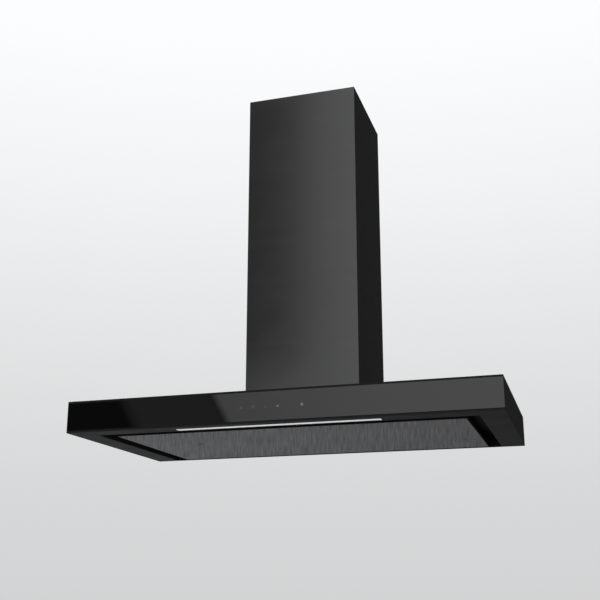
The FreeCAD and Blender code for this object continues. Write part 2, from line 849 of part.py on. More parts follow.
def make_filter_mesh(label, centre):
    """Pleated mesh pack that fills the groove of the filter's frame."""
    body = new_body(label)
    half = "(frame_half - filter_skin - slide_clearance)"
    pitch = "2 * %s / mesh_folds" % half
    left = "%s - %s" % (centre, half)
    low = "filter_low + filter_skin + slide_clearance"
    high = "filter_top - filter_skin - slide_clearance - mesh_sheet"
    pleat = polygon([
        (left, low),
        ("%s + %s / 2" % (left, pitch), high),
        ("%s + %s" % (left, pitch), low),
        ("%s + %s" % (left, pitch), low + " + mesh_sheet"),
        ("%s + %s / 2" % (left, pitch), high + " + mesh_sheet"),
        (left, low + " + mesh_sheet"),
    ])
    front = "frame_front + filter_front_rim - filter_rim + slide_clearance"
    pad = extrude(body, "XZ", [pleat], front, "frame_rear - filter_skin - slide_clearance")
    repeat(body, pad, "X_Axis", "mesh_folds", pitch)


def make_filter_latch(label, centre):
    """Moulded sliding latch: block in its pocket, bolt over the liner and a finger grip."""
    body = new_body(label)
    block_x = about(centre, "latch_width / 2")
    add_block(body, block_x, ("latch_front", "latch_rear"), ("latch_low", "latch_high"))
    bolt_x = about(centre, "bolt_width / 2")
    bolt_y = ("frame_front - bolt_reach", "latch_front")
    add_block(body, bolt_x, bolt_y, ("tab_low", "latch_high"))
    grip_x = about(centre, "grip_width / 2")
    grip_y = ("latch_front + grip_inset", "latch_front + grip_inset + grip_length")
    add_block(body, grip_x, grip_y, ("filter_low - grip_drop", "latch_low"))
    slots = []
    for sign in ("-", "+"):
        middle = "%s %s (latch_width + grip_width) / 4" % (centre, sign)
        slots.append(rectangle(*about(middle, "grip_width / 8"), "latch_front + tongue_inset",
                               "latch_rear - tongue_inset"))
    extrude(body, "XY", slots, "latch_low", "latch_high", cut=True)


def make_filters():
    """Both grease filters."""
    for name, centre in (("left", "-filter_x"), ("right", "filter_x")):
        make_filter_frame("filter_frame_" + name, centre)
        make_filter_mesh("filter_mesh_" + name, centre)
        make_filter_latch("filter_latch_" + name, centre)


# --------------------------------------------------------------------------------------
# Suction panel
# --------------------------------------------------------------------------------------

def make_suction_panel():
    """Flat panel under the liner with folded rims, open where the hinges reach in."""
    body = new_body("suction_panel")
    panel_y = ("panel_front", "panel_rear")
    add_block(body, both("panel_half"), panel_y, ("panel_lift", "panel_top"))
    inside_y = ("panel_front + panel_sheet", "panel_rear - panel_sheet")
    inside_x = both("panel_half - panel_sheet")
    cut_block(body, inside_x, inside_y, ("panel_inside", "panel_top - panel_sheet"))
    open_y = ("panel_front + panel_return", "panel_rear - panel_sheet")
    cut_block(body, inside_x, open_y, ("panel_top - panel_sheet", "panel_top"))
    notch_half = "knuckle_length / 2 + hinge_sheet + slide_clearance + hinge_notch_gap"
    for sign in ("-", ""):
        notch_x = about(sign + "hinge_offset", notch_half)
        notch_y = ("panel_rear - panel_sheet", "panel_rear")
        cut_block(body, notch_x, notch_y, ("panel_inside", "panel_top"))

    def skin_edge(edge):
        level = on_plane(edge, 2, number("panel_lift"))
        rear = on_plane(edge, 1, number("panel_rear"))
        return level and not rear

    dress(body, "Fillet", "Radius", "bend_radius", skin_edge)


def make_panel_stiffener():
    """Hat channel bonded along the inside of the suction panel."""
    body = new_body("panel_stiffener")
    middle = "(panel_front + panel_rear) / 2"
    foot = "stiffener_width / 2 + stiffener_flange"
    crest = "stiffener_width / 2"
    low = "panel_inside"
    high = "panel_top - panel_sheet"

    def at(offset, z):
        return "%s + %s" % (middle, offset), z

    profile = polygon([
        at("-(%s)" % foot, low),
        at("-(%s) + panel_sheet" % crest, low),
        at("-(%s) + panel_sheet" % crest, high + " - panel_sheet"),
        at("%s - panel_sheet" % crest, high + " - panel_sheet"),
        at("%s - panel_sheet" % crest, low),
        at(foot, low),
        at(foot, low + " + panel_sheet"),
        at(crest, low + " + panel_sheet"),
        at(crest, high),
        at("-(%s)" % crest, high),
        at("-(%s)" % crest, low + " + panel_sheet"),
        at("-(%s)" % foot, low + " + panel_sheet"),
    ])
    extrude(body, "YZ", [profile], *both("panel_half - panel_sheet - stiffener_end_gap"))


def make_hinge(name, x):
    """Fixed bracket under the liner and the leaf that carries the panel's rear edge."""
    bracket = new_body("hinge_bracket_" + name)
    near = "knuckle_length / 2 + slide_clearance"
    far = near + " + hinge_sheet"
    plate_z = ("liner_height - hinge_sheet", "liner_height")
    plate_y = ("hinge_y - hinge_foot", "hinge_y + knuckle_radius")
    add_block(bracket, about(x, far), plate_y, plate_z)
    ear = rectangle(*about("hinge_y", "knuckle_radius"), "hinge_height", "liner_height - hinge_sheet")
    tip = circle("hinge_y", "hinge_height", "knuckle_radius")
    eye = circle("hinge_y", "hinge_height", "hinge_pin_radius")
    for low, high in ((x + " - (%s)" % far, x + " - (%s)" % near),
                      (x + " + " + near, x + " + " + far)):
        extrude(bracket, "YZ", [ear], low, high)
        extrude(bracket, "YZ", [tip], low, high)
    extrude(bracket, "YZ", [eye], *about(x, far), cut=True)

    leaf = new_body("hinge_leaf_" + name)
    leaf_x = about(x, "knuckle_length / 2")
    extrude(leaf, "YZ", [circle("hinge_y", "hinge_height", "knuckle_radius")], *leaf_x)
    web = polygon([
        ("hinge_y - leaf_length", "panel_inside"),
        ("hinge_y", "panel_inside"),
        ("hinge_y", "hinge_height"),
        ("hinge_y - knuckle_radius", "hinge_height"),
        ("hinge_y - knuckle_radius", "panel_inside + hinge_sheet"),
        ("hinge_y - leaf_length", "panel_inside + hinge_sheet"),
    ])
    extrude(leaf, "YZ", [web], *leaf_x)
    hole = circle("hinge_y", "hinge_height", "hinge_pin_radius + running_fit")
    extrude(leaf, "YZ", [hole], *leaf_x, cut=True)


def make_hinges():
    """Both panel hinges and their headed pins."""
    pins = []
    for name, x in (("left", "-hinge_offset"), ("right", "hinge_offset")):
        make_hinge(name, x)
        half = "knuckle_length / 2 + slide_clearance + hinge_sheet"
        low = "%s - (%s)" % (x, half)
        high = "%s + %s" % (x, half)
        sections = [
            ("hinge_pin_radius", low, high),
            ("hinge_pin_radius + pin_head", low + " - pin_head", low),
            ("hinge_pin_radius + pin_head", high, high + " + pin_head"),
        ]
        pins.append(headed(("hinge_y", "hinge_height"), "X", sections))
    group("hinge_pins", pins)


def make_catches():
    """Magnet catches under the liner and the steel strikers on the panel's front return."""
    strikers = []
    front = "panel_front + (panel_return - catch_depth) / 2"
    for name, x in (("left", "-catch_offset"), ("right", "catch_offset")):
        magnet = new_body("catch_magnet_" + name)
        magnet_y = (front, front + " + catch_depth")
        magnet_z = ("striker_top + catch_gap", "liner_height")
        add_block(magnet, about(x, "catch_width / 2"), magnet_y, magnet_z)
        dress(magnet, "Fillet", "Radius", "catch_round", lambda edge: is_straight_along(edge, 2))
        striker = doc.addObject("Part::Box", "Box")
        striker.setExpression("Length", full("catch_width + 2 * striker_overhang"))
        striker.setExpression("Width", full("catch_depth"))
        striker.setExpression("Height", full("striker_sheet"))
        striker.setExpression(".Placement.Base.x", full(x + " - catch_width / 2 - striker_overhang"))
        striker.setExpression(".Placement.Base.y", full(front))
        striker.setExpression(".Placement.Base.z", full("panel_top"))
        strikers.append(striker)
    group("panel_strikers", strikers)


# --------------------------------------------------------------------------------------
# Chimney
# --------------------------------------------------------------------------------------

def cover_profile(half, front, back):
    """Return the outline of a folded cover: front, sides and returns along the wall."""
    inner = "%s - chimney_sheet" % half
    tip = "%s - chimney_return" % half
    behind = "%s - chimney_sheet" % back
    right = [
        (inner, "%s + chimney_sheet" % front),
        (inner, behind),
        (tip, behind),
        (tip, back),
        (half, back),
        (half, front),
    ]
    left = [("-(%s)" % x, y) for x, y in right[::-1]]
    return polygon(right + left)


def make_lower_chimney():
    """Visible outer cover, standing on the canopy."""
    body = new_body("lower_chimney")
    outline = cover_profile("chimney_half", "chimney_front", "wall_y")
    extrude(body, "XY", [outline], "canopy_height", "overall_height")
    dress_front_corners(body, "chimney_half", "chimney_front")


def dress_front_corners(body, half, front):
    """Round the two upright outer bends of a cover."""
    def corner(edge):
        at_front = on_plane(edge, 1, number(front))
        at_side = any(on_plane(edge, 0, sign * number(half)) for sign in (-1, 1))
        return is_straight_along(edge, 2) and at_front and at_side

    dress(body, "Fillet", "Radius", "bend_radius", corner)


def make_upper_chimney():
    """Inner cover, nested in the outer one, with vent slots and the holes of its bracket."""
    body = new_body("upper_chimney")
    front = "chimney_front + upper_inset"
    outline = cover_profile("upper_half", front, "wall_y - upper_inset")
    extrude(body, "XY", [outline], "canopy_height + upper_raise", "upper_top")
    middle_y = "wall_y - chimney_depth / 2"
    first = "upper_top - vent_top_margin - vent_width"
    for side in (-1, 1):
        slot = rectangle(*about(middle_y, "vent_length / 2"), first, first + " + vent_width")
        wall_x = on_side(side, "upper_inner_half", "upper_half")
        pocket = extrude(body, "YZ", [slot], *wall_x, cut=True)
        repeat(body, pocket, "Z_Axis", "vent_slots", "vent_pitch", backwards=True)
    dress_front_corners(body, "upper_half", front)
    screw_hole = circle("upper_return_front - bracket_tab / 2", "bracket_middle", "tapping_radius")
    extrude(body, "YZ", [screw_hole], *both("upper_half"), cut=True)


def make_chimney_bracket():
    """Joggled strip that holds the top of the upper cover to the wall."""
    body = new_body("chimney_bracket")
    seat = "upper_return_front"
    flat = "upper_half - chimney_return - bracket_seam"
    end = "upper_inner_half"
    right = [
        ("%s - bracket_sheet" % flat, "wall_y - bracket_sheet"),
        ("%s - bracket_sheet" % flat, seat + " - bracket_sheet"),
        (end + " - bracket_sheet", seat + " - bracket_sheet"),
        (end + " - bracket_sheet", seat + " - bracket_tab"),
        (end, seat + " - bracket_tab"),
        (end, seat),
        (flat, seat),
        (flat, "wall_y"),
    ]
    left = [("-(%s)" % x, y) for x, y in right[::-1]]
    extrude(body, "XY", [polygon(right + left)], "bracket_low", "bracket_top")
    holes = [
        circle(sign + "bracket_hole_offset", "bracket_middle", "bracket_hole_radius")
        for sign in ("-", "")
    ]
    extrude(body, "XZ", holes, "wall_y - bracket_sheet", "wall_y", cut=True)
    screw_hole = circle(seat + " - bracket_tab / 2", "bracket_middle", "tapping_radius")
    extrude(body, "YZ", [screw_hole], *both(end), cut=True)


def make_bracket_screws():
    """Self-tapping screws, driven from inside through the bracket's ends."""
    screws = []
    spot = ("upper_return_front - bracket_tab / 2", "bracket_middle")
    head = "upper_inner_half - bracket_sheet"
    for side in (-1, 1):
        shank = on_side(side, head, "upper_half")
        cap = on_side(side, head + " - tapping_head_height", head)
        sections = [("tapping_radius", *shank), ("tapping_head_radius", *cap)]
        screws.append(headed(spot, "X", sections))
    group("bracket_screws", screws)


# --------------------------------------------------------------------------------------
# Motor box and wall fixing
# --------------------------------------------------------------------------------------

def make_motor_box():
    """Folded box over the canopy's intake that carries the blower and the outlet."""
    body = new_body("motor_box")
    sheet_top = "canopy_height + box_sheet"
    flange_x = both("box_half + box_flange")
    add_block(body, flange_x, ("box_front - box_flange", "box_rear"), ("canopy_height", sheet_top))
    add_block(body, both("box_half"), ("box_front", "box_rear"), ("canopy_height", "box_top"))
    inside_y = ("box_front + box_sheet", "box_rear - box_sheet")
    cut_block(body, both("box_half - box_sheet"), inside_y, ("canopy_height", "box_ceiling"))
    outlet = circle("0", "outlet_y", "outlet_inner")
    stud = circle("-capacitor_x", "capacitor_y", "capacitor_stud_radius + screw_clearance")
    extrude(body, "XY", [outlet, stud], "box_ceiling", "box_top", cut=True)
    holes = [circle(x, y, "machine_screw_radius + screw_clearance") for x, y in box_screw_spots()]
    extrude(body, "XY", holes, "canopy_height", sheet_top, cut=True)


def make_box_screws():
    """Screws that hold the motor box's flange to the canopy."""
    seat = "canopy_height + box_sheet"
    sections = [
        ("machine_screw_radius", seat + " - machine_screw_length", seat),
        ("machine_head_radius", seat, seat + " + machine_head_height"),
    ]
    group("box_screws", [headed(spot, "Z", sections) for spot in box_screw_spots()])


def make_mounting_plate():
    """Rear plate with the windows and the threaded tabs by which the hood hangs."""
    body = new_body("mounting_plate")
    plate_half = "box_half - plate_inset"
    outline = rectangle(*both(plate_half), "canopy_height", "plate_top")
    extrude(body, "XZ", [outline], "plate_front", "plate_back")
    window_half = "hook_width / 2 + hook_window_gap"
    window_low = "hook_top - hook_lip - hook_sheet - hook_travel - hook_window_gap"
    windows = [
        rectangle(*about(sign + "hook_offset", window_half), window_low, "hook_top + hook_window_gap")
        for sign in ("-", "")
    ]
    extrude(body, "XZ", windows, "plate_front", "plate_back", cut=True)
    tab_high = "plate_top - level_tab_drop"
    for sign in ("-", ""):
        tab_x = about(sign + "hook_offset", "hook_width / 2")
        tab_y = ("plate_front - level_tab_depth", "plate_front")
        add_block(body, tab_x, tab_y, (tab_high + " - plate_sheet", tab_high))
    threads = [circle(sign + "hook_offset", "level_y", "level_screw_radius + running_fit")
               for sign in ("-", "")]
    extrude(body, "XY", threads, tab_high + " - plate_sheet", tab_high, cut=True)
    fixing = [circle(sign + "fixing_hole_offset", tab_high, "fixing_hole_radius")
              for sign in ("-", "")]
    extrude(body, "XZ", fixing, "plate_front", "plate_back", cut=True)


def make_wall_hook(name, x):
    """Wall hook whose tongue passes through the plate's window, and its levelling screw."""
    body = new_body("wall_hook_" + name)
    tongue_high = "hook_top - hook_lip"
    tongue_low = tongue_high + " - hook_sheet"
    profile = polygon([
        ("wall_y", tongue_low + " - hook_height"),
        ("wall_y", "hook_top"),
        ("wall_y - hook_sheet", "hook_top"),
        ("wall_y - hook_sheet", tongue_high),
        ("hook_front + hook_sheet", tongue_high),
        ("hook_front + hook_sheet", "hook_top"),
        ("hook_front", "hook_top"),
        ("hook_front", tongue_low),
        ("wall_y - hook_sheet", tongue_low),
        ("wall_y - hook_sheet", tongue_low + " - hook_height"),
    ])
    extrude(body, "YZ", [profile], *about(x, "hook_width / 2"))
    hole_z = "%s - hook_height / 2" % tongue_low
    holes = [circle(x, hole_z + shift, "hook_hole_radius")
             for shift in (" + hook_hole_pitch / 2", " - hook_hole_pitch / 2")]
    extrude(body, "XZ", holes, "wall_y - hook_sheet", "wall_y", cut=True)

    tab_high = "plate_top - level_tab_drop"
    sections = [
        ("level_screw_radius", tongue_high, tab_high + " + hook_travel + slide_clearance"),
        ("level_head_radius", tab_high + " + hook_travel + slide_clearance",
         tab_high + " + hook_travel + slide_clearance + level_head_height"),
    ]
    screw = headed((x, "level_y"), "Z", sections)
    screw.Label = "levelling_screw_" + name
    pieces.append(screw)


# --------------------------------------------------------------------------------------
# Blower
# --------------------------------------------------------------------------------------

# The angle from which the scroll's first arc is drawn, before the tongue holds its end.
TONGUE_ANGLE = 92


def volute(extra):
    """Return a drawer of the scroll: three quarter arcs whose radii grow by one step.

    The centres lie on the corners of a small square, so each arc runs smoothly into the
    next. The last one leaves straight up to the outlet, and the tongue closes the first.
    The extra is how far the outline lies outside the air space.
    """
    def draw(sketch):
        low_y, high_y = about("blower_y", "centre_shift")
        low_z, high_z = about("blower_z", "centre_shift")
        radii = [name + " + " + extra for name in ("first_radius", "second_radius", "third_radius")]
        front = free_arc(sketch, low_y, low_z, radii[0], TONGUE_ANGLE, 180)
        bottom = free_arc(sketch, high_y, low_z, radii[1], 180, 270)
        rear = free_arc(sketch, high_y, high_z, radii[2], 270, 360)
        back_y = "scroll_rear + " + extra
        mouth_y = "scroll_rear - outlet_throat - " + extra
        tongue = "tongue_y - " + extra
        corners = [
            (back_y, high_z),
            (back_y, "box_ceiling"),
            (mouth_y, "box_ceiling"),
            (tongue, "%s + %s" % (low_z, radii[0])),
        ]
        points = [Vector(number(y), number(z), 0) for y, z in corners]
        back_wall, mouth, front_wall = [
            sketch.addGeometry(Part.LineSegment(start, end)) for start, end in zip(points, points[1:])
        ]
        constraints = [
            ("Horizontal", front, 3, front, 2),
            ("Tangent", front, 2, bottom, 1),
            ("Vertical", bottom, 3, bottom, 2),
            ("Tangent", bottom, 2, rear, 1),
            ("Horizontal", rear, 3, rear, 2),
            ("Tangent", rear, 2, back_wall, 1),
            ("Coincident", back_wall, 2, mouth, 1),
            ("Horizontal", mouth),
            ("Coincident", mouth, 2, front_wall, 1),
            ("Coincident", front_wall, 2, front, 1),
        ]
        for constraint in constraints:
            sketch.addConstraint(Sketcher.Constraint(*constraint))
        fix_point(sketch, front, 3, low_y, low_z)
        bind(sketch, Sketcher.Constraint("DistanceY", -1, 1, mouth, 1, points[1].y), "box_ceiling")
        bind(sketch, Sketcher.Constraint("DistanceX", -1, 1, mouth, 2, points[2].x), mouth_y)
        bind(sketch, Sketcher.Constraint("DistanceX", -1, 1, front_wall, 2, points[3].x), tongue)
    return draw


# The angles between which one blade's arc is first drawn, before its ends are held.
BLADE_ARC = (140, 220)
# The angles of the motor's three mounts around the inlet.
MOUNT_ANGLES = (30, 150, 270)
# Turns a sketch so that its X and Y lie along the world's Y and Z.
SKETCH_ACROSS = Rotation(Vector(1, 1, 1), 120)


def ear_spots():
    """Return the spots of the ears that join the scroll's halves."""
    reach = "(scroll_wall + tapping_head_radius + slide_clearance)"
    return [
        ("blower_y - centre_shift - first_radius - " + reach, "blower_z"),
        ("blower_y", "blower_z - centre_shift - second_radius - " + reach),
        ("scroll_rear - outlet_throat - " + reach, "box_ceiling - 2 * ear_radius"),
    ]


def grommet_spots():
    """Return the spots of the motor's three rubber mounts around the inlet."""
    return [
        ("blower_y + arm_circle_radius * cos(%d)" % angle,
         "blower_z + arm_circle_radius * sin(%d)" % angle)
        for angle in MOUNT_ANGLES
    ]


def make_scroll_half(name, side):
    """One moulded half of the scroll housing with its ears and its bell-mouthed inlet."""
    body = new_body("scroll_" + name)
    outside = "scroll_half + scroll_wall"
    extrude(body, "YZ", [volute("scroll_wall")], *on_side(side, "0", outside))
    for y, z in ear_spots():
        extrude(body, "YZ", [circle(y, z, "ear_radius")], *on_side(side, "0", "ear_length"))
    holes = [circle(y, z, "tapping_radius") for y, z in ear_spots()]
    extrude(body, "YZ", holes, *on_side(side, "0", "ear_length"), cut=True)
    # The flange around the mouth closes the outlet's circle beside the narrower scroll.
    flange_y = ("scroll_rear - outlet_throat - scroll_wall", "scroll_rear + scroll_wall")
    flange_x = on_side(side, "0", "outlet_radius + scroll_wall")
    add_block(body, flange_x, flange_y, ("box_ceiling - scroll_wall", "box_ceiling"))
    lip_end = outside + " + inlet_lip"
    lip = circle("blower_y", "blower_z", "inlet_radius + inlet_lip_wall")
    extrude(body, "YZ", [lip], *on_side(side, outside, lip_end))
    extrude(body, "YZ", [volute("0")], *on_side(side, "0", "scroll_half"), cut=True)
    inlet = circle("blower_y", "blower_z", "inlet_radius")
    extrude(body, "YZ", [inlet], *on_side(side, "scroll_half", lip_end), cut=True)
    edge_x = side * number(lip_end)

    def mouth_edge(edge):
        curve = edge.Curve
        if curve.TypeId != "Part::GeomCircle" or abs(curve.Radius - number("inlet_radius")) > 1e-4:
            return False
        return on_plane(edge, 0, edge_x)

    dress(body, "Fillet", "Radius", "inlet_round", mouth_edge)


def make_scroll_screws():
    """Self-tapping screws through the ears of both halves."""
    sections = [
        ("tapping_radius", "-ear_length", "ear_length"),
        ("tapping_head_radius", "ear_length", "ear_length + tapping_head_height"),
    ]
    group("scroll_screws", [headed(spot, "X", sections) for spot in ear_spots()])


def blade_outline(sketch):
    """Draw one forward-curved blade between the bore and the rim of the impeller."""
    centre = ("0", "0")
    bore_circle = Part.Circle(Vector(), Vector(0, 0, 1), number("impeller_bore_radius"))
    rim_circle = Part.Circle(Vector(), Vector(0, 0, 1), number("blade_tip_radius"))
    guides = []
    for guide, radius in ((bore_circle, "impeller_bore_radius"), (rim_circle, "blade_tip_radius")):
        index = sketch.addGeometry(guide, True)
        fix_point(sketch, index, 3, *centre)
        bind(sketch, Sketcher.Constraint("Radius", index, number(radius)), radius)
        guides.append(index)
    # The blade's arcs are centred halfway between the two circles, beside the blade.
    beside = ("blade_curve_radius * blade_lean", "(impeller_bore_radius + impeller_radius) / 2")
    arcs = []
    for radius in ("blade_curve_radius", "blade_curve_radius - blade_thickness"):
        curve = arc(sketch, *beside, radius, *BLADE_ARC)
        sketch.addConstraint(Sketcher.Constraint("PointOnObject", curve, 1, guides[1]))
        sketch.addConstraint(Sketcher.Constraint("PointOnObject", curve, 2, guides[0]))
        arcs.append(curve)
    sketch.solve()
    for vertex in (1, 2):
        start = sketch.getPoint(arcs[0], vertex)
        end = sketch.getPoint(arcs[1], vertex)
        line = sketch.addGeometry(Part.LineSegment(start, end))
        sketch.addConstraint(Sketcher.Constraint("Coincident", line, 1, arcs[0], vertex))
        sketch.addConstraint(Sketcher.Constraint("Coincident", line, 2, arcs[1], vertex))


def make_impeller():
    """Double-inlet wheel: middle disc with its hub, two rows of blades, two end rings."""
    centre = ("blower_y", "blower_z")
    body = new_body("impeller")
    extrude(body, "YZ", [circle(*centre, "blade_tip_radius")], *both("impeller_disc / 2"))
    extrude(body, "YZ", [circle(*centre, "hub_radius")], "-motor_air_gap / 2", "hub_length")
    bore_hole = circle(*centre, "shaft_radius")
    extrude(body, "YZ", [bore_hole], "-motor_air_gap / 2", "hub_length", cut=True)

    rings = []
    for side in (-1, 1):
        span = on_side(side, "impeller_half - impeller_ring", "impeller_half")
        rim = rod(centre, "X", "impeller_radius", *span)
        rings.append(bore(rim, rod(centre, "X", "impeller_bore_radius", *span)))
    group("impeller_rings", rings)

    blade = doc.addObject("Sketcher::SketchObject", "Blade")
    blade_outline(blade)
    blades = []
    count = int(number("blade_count"))
    for side in (-1, 1):
        low, high = on_side(side, "impeller_disc / 2", "impeller_half - impeller_ring")
        for step in range(count):
            strip = doc.addObject("Part::Extrusion", "Strip")
            strip.Base = blade
            strip.DirMode = "Normal"
            strip.Solid = True
            strip.setExpression("LengthFwd", full("(%s) - (%s)" % (high, low)))
            turn = Rotation(Vector(1, 0, 0), 360 * step / count) * SKETCH_ACROSS
            strip.Placement = FreeCAD.Placement(Vector(), turn)
            for letter, formula in zip("xyz", (low, *centre)):
                strip.setExpression(".Placement.Base." + letter, full(formula))
            blades.append(strip)
    group("impeller_blades", blades)


def make_motor():
    """Motor can with end boss, its bearings, the shaft and the three-armed bracket."""
    centre = ("blower_y", "blower_z")
    body = new_body("motor")
    extrude(body, "YZ", [circle(*centre, "motor_radius")], *on_side(-1, "motor_near", "motor_far"))
    ends = (-number("motor_far"), -number("motor_near"))
    dress(body, "Fillet", "Radius", "motor_round",
          lambda edge: any(on_plane(edge, 0, end) for end in ends))
    extrude(body, "YZ", [circle(*centre, "motor_bore_radius")],
            *on_side(-1, "motor_near", "motor_far"), cut=True)
    seats = [
        on_side(-1, "motor_near", "motor_near + bearing_length"),
        on_side(-1, "motor_far - bearing_length", "motor_far"),
    ]
    bearings = []
    for seat in seats:
        extrude(body, "YZ", [circle(*centre, "bearing_radius")], *seat, cut=True)
        ring = rod(centre, "X", "bearing_radius", *seat)
        hole = rod(centre, "X", "shaft_radius + running_fit", *seat)
        bearings.append(bore(ring, hole))
    group("motor_bearings", bearings)

    shaft = rod(centre, "X", "shaft_radius", "-(motor_far + shaft_overhang)", "hub_length")
    shaft.Label = "motor_shaft"
    pieces.append(shaft)

    bracket = new_body("motor_bracket")
    bracket_x = on_side(-1, "arm_near", "arm_far")
    extrude(bracket, "YZ", [circle(*centre, "motor_radius + clamp_wall")], *bracket_x)
    for y, z in grommet_spots():
        extrude(bracket, "YZ", [circle(y, z, "arm_pad_radius")], *bracket_x)
    for angle in MOUNT_ANGLES:
        extrude(bracket, "YZ", [arm_outline(angle)], *bracket_x)
    holes = [circle(y, z, "tapping_radius + screw_clearance") for y, z in grommet_spots()]
    extrude(bracket, "YZ", [circle(*centre, "motor_radius")] + holes, *bracket_x, cut=True)

    grommet_x = on_side(-1, "scroll_half + scroll_wall", "arm_near")
    grommets = []
    for spot in grommet_spots():
        ring = rod(spot, "X", "grommet_radius", *grommet_x)
        grommets.append(bore(ring, rod(spot, "X", "tapping_radius + screw_clearance", *grommet_x)))
    group("motor_grommets", grommets)
    sections = [
        ("tapping_radius", *on_side(-1, "scroll_half + scroll_wall", "arm_far")),
        ("tapping_head_radius", *on_side(-1, "arm_far", "arm_far + tapping_head_height")),
    ]
    group("motor_screws", [headed(spot, "X", sections) for spot in grommet_spots()])


def arm_outline(angle):
    """Return a drawer of one arm of the motor's bracket, from the clamp to its mount."""
    def at(along, across):
        y = "blower_y + (%s) * cos(%d) - (%s) * sin(%d)" % (along, angle, across, angle)
        z = "blower_z + (%s) * sin(%d) + (%s) * cos(%d)" % (along, angle, across, angle)
        return y, z

    near = "motor_radius + clamp_wall / 2"
    return polygon([
        at(near, "-arm_width / 2"),
        at("arm_circle_radius", "-arm_width / 2"),
        at("arm_circle_radius", "arm_width / 2"),
        at(near, "arm_width / 2"),
    ])


def make_capacitor():
    """Run capacitor on the motor box, held by its stud and a nut under the sheet."""
    spot = ("-capacitor_x", "capacitor_y")
    body = new_body("capacitor")
    top = "box_top + capacitor_height"
    extrude(body, "XY", [circle(*spot, "capacitor_radius")], "box_top", top)
    dress(body, "Fillet", "Radius", "capacitor_round", lambda edge: on_plane(edge, 2, number(top)))
    stud_low = "box_ceiling - capacitor_stud_length"
    extrude(body, "XY", [circle(*spot, "capacitor_stud_radius")], stud_low, "box_top")
    low = "box_ceiling - capacitor_nut_height"
    nut = hexagon(spot, "Z", "capacitor_nut_radius", low, "box_ceiling")
    hole = rod(spot, "Z", "capacitor_stud_radius + running_fit", low, "box_ceiling")
    group("capacitor_nut", [bore(nut, hole)])


def make_terminal_box():
    """Mains terminal box on the motor box, its front lid, and the inlet gland on top."""
    body = new_body("terminal_box")
    box_y = ("terminal_front", "terminal_rear")
    add_block(body, both("terminal_half"), box_y, ("box_top", "terminal_top"))
    dress(body, "Fillet", "Radius", "terminal_round", lambda edge: is_straight_along(edge, 1))
    inside_x = both("terminal_half - terminal_wall")
    inside_y = ("terminal_front", "terminal_rear - terminal_wall")
    ceiling = "terminal_top - terminal_wall"
    cut_block(body, inside_x, inside_y, ("box_top + terminal_wall", ceiling))
    spot = ("gland_x", "(terminal_front + terminal_rear) / 2")
    hole = circle(*spot, "gland_thread_radius + screw_clearance")
    extrude(body, "XY", [hole], ceiling, "terminal_top", cut=True)

    lid = new_body("terminal_lid")
    lid_y = ("terminal_front - terminal_lid_sheet", "terminal_front")
    add_block(lid, both("terminal_half"), lid_y, ("box_top", "terminal_top"))
    dress(lid, "Fillet", "Radius", "terminal_round", lambda edge: is_straight_along(edge, 1))

    nut_end = "terminal_top + gland_nut_length"
    dome_end = nut_end + " + gland_dome_length"
    thread = rod(spot, "Z", "gland_thread_radius", ceiling, "terminal_top")
    hexed = hexagon(spot, "Z", "gland_nut_radius", "terminal_top", nut_end)
    dome = rod(spot, "Z", "gland_dome_radius", nut_end, dome_end)
    passage = rod(spot, "Z", "gland_bore_radius", ceiling, dome_end)
    group("cable_gland", [bore(join([thread, hexed, dome]), passage)])


# --------------------------------------------------------------------------------------
# Outlet
# --------------------------------------------------------------------------------------

def make_outlet_collar():
    """Round spigot for the duct, with the seat of the backdraught flaps."""
    body = new_body("outlet_collar")
    centre = ("0", "outlet_y")
    flange_top = "box_top + outlet_flange_sheet"
    extrude(body, "XY", [circle(*centre, "outlet_radius + outlet_flange")], "box_top", flange_top)
    spigot_top = "box_top + outlet_length"
    extrude(body, "XY", [circle(*centre, "outlet_radius")], "box_top", spigot_top)
    seat_top = "flap_low - slide_clearance"
    seat_low = seat_top + " - flap_seat_height"
    extrude(body, "XY", [circle(*centre, "outlet_inner")], seat_top, spigot_top, cut=True)
    extrude(body, "XY", [circle(*centre, "outlet_inner")], "box_top", seat_low, cut=True)
    opening = circle(*centre, "outlet_inner - flap_seat_width")
    extrude(body, "XY", [opening], seat_low, seat_top, cut=True)
    rod_hole = circle("outlet_y", "flap_z", "flap_rod_radius")
    extrude(body, "YZ", [rod_hole], *both("outlet_radius"), cut=True)
    holes = [circle(x, y, "tapping_radius") for x, y in collar_screw_spots()]
    extrude(body, "XY", holes, "box_top", flange_top, cut=True)


# The angles of the screws around the collar.
COLLAR_ANGLES = (45, 135, 225, 315)


def collar_screw_spots():
    """Return the spots of the screws in the collar's flange."""
    circle_radius = "(outlet_radius + collar_screw_inset)"
    return [
        ("%s * cos(%d)" % (circle_radius, angle), "outlet_y + %s * sin(%d)" % (circle_radius, angle))
        for angle in COLLAR_ANGLES
    ]


def make_collar_screws():
    """Self-tapping screws of the collar."""
    seat = "box_top + outlet_flange_sheet"
    sections = [
        ("tapping_radius", "box_top", seat),
        ("tapping_head_radius", seat, seat + " + tapping_head_height"),
    ]
    group("collar_screws", [headed(spot, "Z", sections) for spot in collar_screw_spots()])


